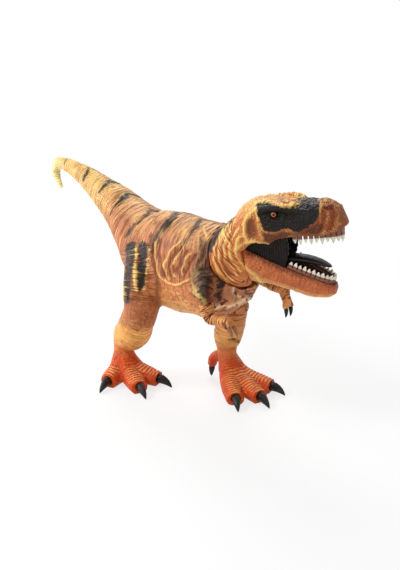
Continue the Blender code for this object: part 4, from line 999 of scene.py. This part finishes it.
def head_areas(coat):
    """The head's regions and drawn folds, each as a share at every vertex."""
    points = coat.points
    spots = face_spots(points)
    local = points - np.array(head_place)
    ahead = local @ np.array(head_forward)
    top = ramp(coat.normals @ np.array(head_up), 0.35, 0.8)
    snout_top = top * ramp(ahead, *snout_top_lengths)
    left_of_middle = ramp(local @ np.array(head_left), *far_top_widths)
    far_top = left_of_middle * top * (1.0 - ramp(ahead, *far_top_lengths))
    mask_spots = spots + wander_of(points, **mask_wander)
    return SimpleNamespace(
        spots=spots,
        on_neck=1.0 - ramp(ahead, *neck_lengths),
        crown=top * (1.0 - ramp(ahead, *crown_lengths)),
        snout=ramp(ahead, *snout_lengths),
        snout_top=snout_top,
        bridge=snout_top * ramp(ahead, *bridge_begin) * (1.0 - ramp(ahead, *bridge_end)),
        cheek=ridge(spots, cheek_ridge, wide=1.6),
        lip=ridge(spots, lip_ridge, wide=1.5),
        hollow=inside(spots, cheek_hollow, soft=2.0),
        mask=inside(mask_spots, eye_mask, soft=1.6) * (1.0 - far_top))


def eye_rings(spots):
    """Rings of folds round the eye."""
    away = np.linalg.norm(spots - np.array(eye_spot), axis=1)
    near_eye = ramp(away, *eye_rings_begin) * (1.0 - ramp(away, *eye_rings_end))
    return np.cos((away - eye_rim) * (2.0 * math.pi / eye_ring_pitch)) * near_eye


def press_head(coat, area):
    """Neck folds, cheek, lip and brow ridges, rings round the eyes, knobbly snout and crown, painted
    shade in hollows.
    """
    points, spots = coat.points, area.spots
    knobs = noisy(points, **snout_knobs)
    nostril = np.linalg.norm((spots - np.array(nostril_spot)) * nostril_squeeze, axis=1)
    coat.relief += ridges(spots, neck_ridges, wide=1.5) * neck_ridge_height
    coat.relief += area.cheek * cheek_height + area.lip * lip_height
    coat.relief += ridge(spots, cheek_front_ridge, wide=1.3) * cheek_front_height
    coat.relief += ridge(spots, upper_lip, wide=1.8) * upper_lip_height
    coat.relief += ridge(spots, brow_line, wide=1.8) * brow_height
    coat.relief += eye_rings(spots) * eye_ring_height
    coat.relief += ridges(spots, snout_ridges, wide=1.6) * snout_ridge_height
    coat.relief -= ridges(spots, snout_hollows, wide=1.8) * snout_hollow_depth
    coat.relief -= np.exp(-(nostril / nostril_reach) ** 2) * nostril_depth
    coat.relief += area.snout_top * (knobs * snout_knob_height + snout_top_lift)
    coat.relief += area.crown * noisy(points, **crown_knobs) * crown_knob_height
    coat.relief += noisy(points, **head_swell) * head_swell_height
    coat.sure *= np.maximum(area.on_neck, 0.15)
    coat.fold(area.on_neck, **neck_folds)
    coat.paint_crease_shade(0.45 * ridges(spots, neck_hollows, wide=1.2) * area.on_neck)
    coat.paint_crease_shade(0.3 * ridges(spots, snout_hollows, wide=1.6))
    coat.paint_crease_shade(0.8 * ramp(-knobs, 0.15, 0.5) * area.snout_top)
    coat.paint_crease_shade(1.0 - ramp(nostril, *nostril_shade))


def paint_head(coat, area):
    """Orange neck, tan crown with painted top light, dark cheeks and snout of painted shade, and the
    black mask round the eyes with its yellow rim.
    """
    points, spots = coat.points, area.spots
    broken = ramp(noisy(points, **broken_yellow), -0.5, 0.25)
    from_rim = near_line(spots, eye_mask + eye_mask[:1])[0] - mask_rim_offset
    rim = np.exp(-(from_rim / mask_rim_width) ** 2) * (1.0 - area.mask)
    rim *= 1.0 - 0.9 * inside(spots, under_mask, soft=2.0)
    coat.paint(neck_orange, area.on_neck)
    # Upward faces of the crown painted light tan: the crown's paint together with painted top light
    coat.paint(crown_top_light_tan, 0.9 * area.crown)
    # Painted shade: the snout darker red-brown
    coat.paint(snout_shade_orange, area.snout)
    # Painted shade: near-black brown under the mask and in the cheek hollow
    coat.paint(cheek_shade_brown, 0.92 * inside(spots, under_mask, soft=2.5))
    coat.paint(cheek_shade_brown, 0.7 * area.hollow)
    coat.paint(lip_yellow, (0.85 * area.lip + 0.6 * area.cheek) * broken)
    coat.paint(lip_yellow, 0.75 * rim * (1.0 - area.snout) * broken)
    wandering = spots + wander_of(points, **neck_stripe_wander)
    coat.spray(1.1 * area.mask)
    coat.spray(0.85 * sprayed(wandering, neck_stripes, soft=2.2) * area.on_neck)
    coat.spray(0.8 * area.bridge * ramp(noisy(points, **bridge_blotches), -0.4, 0.2))
    coat.scaly += 0.85 * (1.0 - area.on_neck)
    coat.dry += 0.3 * area.crown + 0.35 * rim - 0.5 * inside(spots, under_mask, soft=3.0)
    coat.dry -= 0.4 * area.mask + 0.35 * area.hollow + 0.3 * area.snout


def make_head():
    """Skin of neck, skull and snout."""
    piece = fine_copy("head_shell", "head_skin", head_cell, smoothing=4)
    coat = Coat(piece, "head_shell", [from_hips(neck), from_hips(skull)], face_orange)
    area = head_areas(coat)
    press_head(coat, area)
    paint_head(coat, area)
    coat.finish()


# The jaw's skin

jaw_cell = 0.6 * mm
jaw_folds = dict(size=4.0 * mm, stretch=3.0, depth=0.5 * mm, seed=2.0)
jaw_corner_height = 0.8 * mm
jaw_swell = dict(size=6.0 * mm, seed=2.0)
jaw_swell_height = 0.5 * mm
jaw_knobs = dict(size=2.8 * mm, seed=5.0)
jaw_knob_height = 0.25 * mm


def make_jaw():
    """Skin of the lower jaw: scaly, with painted shade along its lip and a paler underside."""
    piece = fine_copy("lower_jaw", "jaw_skin", jaw_cell, smoothing=4)
    coat = Coat(piece, "lower_jaw", [from_hips(jaw_bone)], jaw_orange)
    spots = face_spots(coat.points)
    corner = ridge(spots, jaw_corner, wide=1.8)
    under = ramp(-coat.normals[:, 2], 0.2, 0.8)
    coat.relief += corner * jaw_corner_height
    coat.relief += noisy(coat.points, **jaw_swell) * jaw_swell_height
    coat.relief += noisy(coat.points, **jaw_knobs) * jaw_knob_height
    coat.fold(0.25, **jaw_folds)
    coat.paint(belly_peach, 0.75 * under)
    coat.paint(lip_yellow, 0.6 * corner)
    # Painted shade: dark brown along the lower lip, under the upper jaw
    coat.paint(cheek_shade_brown, 0.75 * ridge(spots, lower_lip, wide=4.0))
    coat.scaly += 0.75
    coat.dry += 0.35 * under - 0.3
    coat.finish()


# The lower legs' skins: their folds, their relief, and the heights between which foot, ankle, shin
# and knee fade

leg_cell = 0.72 * mm
shin_rings = dict(size=2.8 * mm, stretch=4.0, depth=0.7 * mm, seed=7.0)
foot_folds = dict(size=2.4 * mm, stretch=2.5, depth=0.8 * mm, seed=9.0)
shin_stripe_wander = dict(size=6.0 * mm, reach=2.0)
leg_swell = dict(size=8.0 * mm, seed=2.0)
leg_swell_height = 0.4 * mm
scute_pitch = 3.4 * mm
scute_height = 0.7 * mm
scute_wander_size = 9.0 * mm
scute_wander = 1.2 * mm
pad_heights = (0.6 * mm, 3.5 * mm)
scute_heights = (5.0 * mm, 9.0 * mm)
shin_heights = (30.0 * mm, 44.0 * mm)
shin_paint_heights = (24.0 * mm, 52.0 * mm)
ankle_begin = (24.0 * mm, 32.0 * mm)
ankle_end = (40.0 * mm, 54.0 * mm)
knee_heights = (64.0 * mm, 74.0 * mm)
pale_shin_begin = (40.0 * mm, 50.0 * mm)
pale_shin_end = (58.0 * mm, 66.0 * mm)


def length_along_toes(points, toes):
    """Length along the toe that is nearest."""
    reaches = [near_line(points, toe) for toe in toes]
    nearest = np.argmin([away for away, _ in reaches], axis=0)
    return np.choose(nearest, [along for _, along in reaches])


def make_leg(side, shin, toes):
    """Lower leg and foot: rings on the shin, scutes with painted highlights across the toes' tops, and a
    near calf brightened as painted light.
    """
    node = side + "_lower_leg"
    piece = fine_copy(node, side + "_leg_skin", leg_cell, smoothing=3)
    toe_bones = [from_hips(toe) for toe in toes]
    coat = Coat(piece, node, [from_hips(shin)] + toe_bones, foot_orange)
    points, heights, upward = coat.points, coat.points[:, 2], coat.normals[:, 2]
    shin_form = ramp(heights, *shin_heights)
    shin_paint = ramp(heights, *shin_paint_heights)
    ankle = ramp(heights, *ankle_begin) * (1.0 - ramp(heights, *ankle_end))
    knee = ramp(heights, *knee_heights)
    on_top = ramp(upward, 0.45, 0.85) * (1.0 - shin_form) * ramp(heights, *scute_heights)
    reach = length_along_toes(points, toe_bones) + noisy(points, scute_wander_size) * scute_wander
    scutes = np.abs(np.sin(reach * math.pi / scute_pitch))
    coat.sure *= 0.35 + 0.65 * shin_form
    coat.relief += noisy(points, **leg_swell) * leg_swell_height
    coat.relief += (scutes - 0.4) * scute_height * on_top
    coat.fold(shin_form * 0.6, **shin_rings)
    coat.fold((1.0 - shin_form) * 0.45, **foot_folds)
    coat.relief *= ramp(heights, *pad_heights)
    coat.paint_crease_shade((1.0 - ramp(scutes, 0.05, 0.35)) * on_top * 0.25)
    coat.crease *= 1.0 - 0.65 * shin_paint
    # The near calf painted pale yellow-orange, brightened as painted light
    coat.paint(shin_rust if side == "left" else calf_lit_yellow, shin_paint)
    coat.paint(knee_rust, 0.2 * ankle)
    coat.paint(knee_rust, 0.7 * knee)
    # Painted highlights: cream on the upward tops of the scutes
    coat.paint(scute_highlight_cream, 0.5 * on_top * ramp(upward, 0.7, 0.95) * ramp(scutes, 0.6, 0.95))
    if side == "left":
        spots = spots_of(points) + wander_of(points, **shin_stripe_wander)
        coat.spray(0.7 * sprayed(spots, far_shin_stripes, soft=1.5))
        pale_shin = ramp(heights, *pale_shin_begin) * (1.0 - ramp(heights, *pale_shin_end))
        coat.paint(lip_yellow, 0.25 * pale_shin)
    coat.scaly += 0.35 * (1.0 - shin_form)
    # More ridge yellow at the ankle and along the shin, partly painted highlight
    coat.dry += 0.25 * ankle + 0.32 * shin_paint * (1.0 - knee) - 0.12
    coat.finish()


# The forearms' skins

forearm_cell = 0.42 * mm
forearm_rings = dict(size=2.0 * mm, stretch=3.5, depth=0.5 * mm, seed=7.0)
forearm_swell = dict(size=4.0 * mm, seed=2.0)
forearm_swell_height = 0.2 * mm


def make_forearm(side, bone, rust_share):
    """Skin of a forearm and hand, ringed all the way."""
    node = side + "_forearm"
    piece = fine_copy(node, side + "_forearm_skin", forearm_cell, smoothing=3)
    coat = Coat(piece, node, [from_hips(bone)], thigh_orange)
    coat.fold(0.9, **forearm_rings)
    coat.relief += noisy(coat.points, **forearm_swell) * forearm_swell_height
    coat.paint(shin_rust, rust_share)
    coat.dry -= 0.3
    coat.finish()


make_body()
make_head()
make_jaw()
make_leg("right", right_shin, right_toes)
make_leg("left", left_shin, left_toes)
make_forearm("right", right_arm, rust_share=0.75)
make_forearm("left", left_arm, rust_share=0.45)


# Claws, mouth, teeth and eyes

toe_claw_cell = 0.4 * mm
hand_claw_cell = 0.25 * mm
mouth_cell = 0.5 * mm
tooth_cell = 0.3 * mm
upper_root_heights = (2.6 * mm, 5.8 * mm)
lower_root_heights = (1.0 * mm, 3.6 * mm)
arch_centre = 45.0 * mm
arch_side_weight = 3.0
least_length = 1e-9
eye_ahead_share = 0.25
eye_up_share = 0.05
eye_segments = 48
eye_rings_of_faces = 32


def polished_copy(node, cell, material, smoothing=3):
    """Fine copy of a small node with its own finish."""
    piece = fine_copy(node, node + "_finish", cell, smoothing)
    piece.data.materials.clear()
    piece.data.materials.append(material)
    return piece


def root_share(node, local):
    """1 at a tooth row's gum, 0 at its points."""
    if node == "upper_teeth":
        return ramp(local @ np.array(head_up), *upper_root_heights)
    return 1.0 - ramp(local @ np.array(jaw_up), *lower_root_heights)


def make_teeth(node):
    """Row of teeth that knows its roots and which way is out of the mouth."""
    piece = polished_copy(node, tooth_cell, teeth_ivory, smoothing=1)
    local = places_of(piece.data) - np.array(head_place)
    ahead = np.maximum(local @ np.array(head_forward) - arch_centre, 0.0)
    aside = local @ np.array(head_left) * arch_side_weight
    outward = np.outer(ahead, head_forward) + np.outer(aside, head_left)
    outward /= np.linalg.norm(outward, axis=1)[:, None] + least_length
    inner = ramp(-(normals_of(piece.data) * outward).sum(axis=1), 0.2, 0.7)
    put_attribute(piece.data, "tooth", root_share(node, local), inner)


for node in frame["nodes"]:
    if node.endswith("hand_claw"):
        polished_copy(node, hand_claw_cell, claw_brown if node.startswith("right") else claw_black)
    elif node.endswith("claw"):
        polished_copy(node, toe_claw_cell, claw_black)
polished_copy("palate", mouth_cell, lining_black)
polished_copy("tongue", mouth_cell, mouth_black)
polished_copy("mouth_lining", mouth_cell, lining_black)
make_teeth("upper_teeth")
make_teeth("lower_teeth")


def eye_glaze(node, pupil_spot, radius):
    """Gloss of an eye: black pupil in an orange-red iris with a dark rim."""
    iris_red = rgb(0.34, 0.055, 0.010)
    iris_orange = rgb(0.58, 0.15, 0.03)
    pupil_black = rgb(0.004, 0.003, 0.003)
    rim_black = rgb(0.012, 0.008, 0.006)
    pupil_edge = (0.34, 0.26)
    iris_edge = (0.56, 0.68)
    paint = Paint(node + "_glaze", (0.5, 0.12, 0.02), 0.25, **{"Specular IOR Level": 0.2})
    place = paint.place()
    away = paint.add("ShaderNodeVectorMath", {"operation": "DISTANCE"}, {0: place, 1: pupil_spot})[0]
    share = away / radius
    colour = paint.mix(paint.noise(place, scale=1500.0), iris_orange, iris_red)
    colour = paint.mix(share.ramp(*pupil_edge), colour, pupil_black)
    colour = paint.mix(share.ramp(*iris_edge), colour, rim_black)
    paint.set(Base_Color=colour)
    return paint.material


def make_eye(node):
    """Glossy eyeball that looks outwards and a little ahead."""
    lowest, highest = (Vector(corner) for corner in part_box(node))
    centre = (lowest + highest) / 2
    radius = max(highest - lowest) / 2
    side = 1.0 if (centre - head_place).dot(head_left) > 0.0 else -1.0
    outward = (head_left * side + head_forward * eye_ahead_share + head_up * eye_up_share).normalized()
    form = bmesh.new()
    bmesh.ops.create_uvsphere(form, u_segments=eye_segments, v_segments=eye_rings_of_faces, radius=radius)
    bmesh.ops.translate(form, verts=form.verts, vec=centre)
    piece = placed(node + "_ball", form)
    piece.data.shade_smooth()
    piece.data.materials.append(eye_glaze(node, tuple(centre + outward * radius), radius))
    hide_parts(node)
    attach(piece, "head")


make_eye("right_eye")
make_eye("left_eye")


# Floor, light and camera

floor_reach = 3.0
floor_fade = (0.30, 0.90)
near_white_share = 0.75
surroundings_light = 0.33
white = (1.0, 1.0, 1.0, 1.0)


def seen_by_eye(tree):
    """1 for rays from the camera, and for those that mirrors and glass show it."""
    paths = tree.nodes.new("ShaderNodeLightPath")
    sums = []
    for name in ("Is Glossy Ray", "Is Transmission Ray"):
        node = tree.nodes.new("ShaderNodeMath")
        node.operation = "ADD"
        node.use_clamp = True
        tree.links.new(sums[-1] if sums else paths.outputs["Is Camera Ray"], node.inputs[0])
        tree.links.new(paths.outputs[name], node.inputs[1])
        sums.append(node.outputs[0])
    return sums[-1]


def make_floor():
    """Pale floor that keeps the figure's shadow and fades to the white surroundings far off."""
    form = bmesh.new()
    bmesh.ops.create_grid(form, x_segments=1, y_segments=1, size=floor_reach)
    floor = placed("floor", form)
    paint = Paint("floor_white", (0.88, 0.88, 0.88), 0.7)
    tree = paint.tree
    glow = tree.nodes.new("ShaderNodeEmission")
    blend = tree.nodes.new("ShaderNodeMixShader")
    far = paint.add("ShaderNodeVectorMath", {"operation": "LENGTH"}, {0: paint.place()})[0]
    white_share = far.ramp(*floor_fade) * (1.0 - near_white_share) + near_white_share
    share = Wire(paint, seen_by_eye(tree)) * white_share
    tree.links.new(share.socket, blend.inputs[0])
    tree.links.new(paint.shader.outputs[0], blend.inputs[1])
    tree.links.new(glow.outputs[0], blend.inputs[2])
    tree.links.new(blend.outputs[0], tree.nodes["Material Output"].inputs["Surface"])
    floor.data.materials.append(paint.material)


def make_lamp(name, place, size, power):
    """Round soft lamp that points at the figure."""
    lamp = bpy.data.lights.new(name, "AREA")
    lamp.shape = "DISK"
    lamp.size = size
    lamp.energy = power
    holder = bpy.data.objects.new(name, lamp)
    holder.location = place
    holder.rotation_euler = (aim_point - Vector(place)).to_track_quat("-Z", "Y").to_euler()
    bpy.context.scene.collection.objects.link(holder)


def make_world():
    """Even soft surroundings that the camera sees as pure white."""
    world = bpy.data.worlds.new("studio")
    bpy.context.scene.world = world
    world.use_nodes = True
    tree = world.node_tree
    strength = tree.nodes.new("ShaderNodeMapRange")
    strength.inputs["To Min"].default_value = surroundings_light
    strength.inputs["To Max"].default_value = 1.0
    tree.links.new(seen_by_eye(tree), strength.inputs["Value"])
    tree.links.new(strength.outputs[0], tree.nodes["Background"].inputs["Strength"])
    tree.nodes["Background"].inputs["Color"].default_value = white


def make_camera():
    """Camera of the photograph."""
    camera = bpy.data.cameras.new("photo_camera")
    camera.sensor_fit = "VERTICAL"
    camera.sensor_height = sensor_size
    camera.lens = pixels_per_radian / photo_height * sensor_size
    camera.clip_start = nearest_seen
    holder = bpy.data.objects.new("photo_camera", camera)
    turn = Matrix((camera_right, camera_up, to_camera)).transposed().to_4x4()
    turn.translation = camera_place
    holder.matrix_world = turn
    bpy.context.scene.collection.objects.link(holder)
    bpy.context.scene.camera = holder


make_floor()
make_world()
make_lamp("key", place=(-0.45, -0.90, 1.05), size=0.45, power=11.5)
make_lamp("side", place=(-0.95, -0.55, 0.30), size=0.5, power=6.5)
make_lamp("fill", place=(0.9, -0.5, 0.5), size=0.8, power=1.5)
make_lamp("rim", place=(-0.7, 0.5, 1.1), size=0.7, power=10.0)
make_camera()
bpy.context.scene.view_settings.view_transform = "Standard"
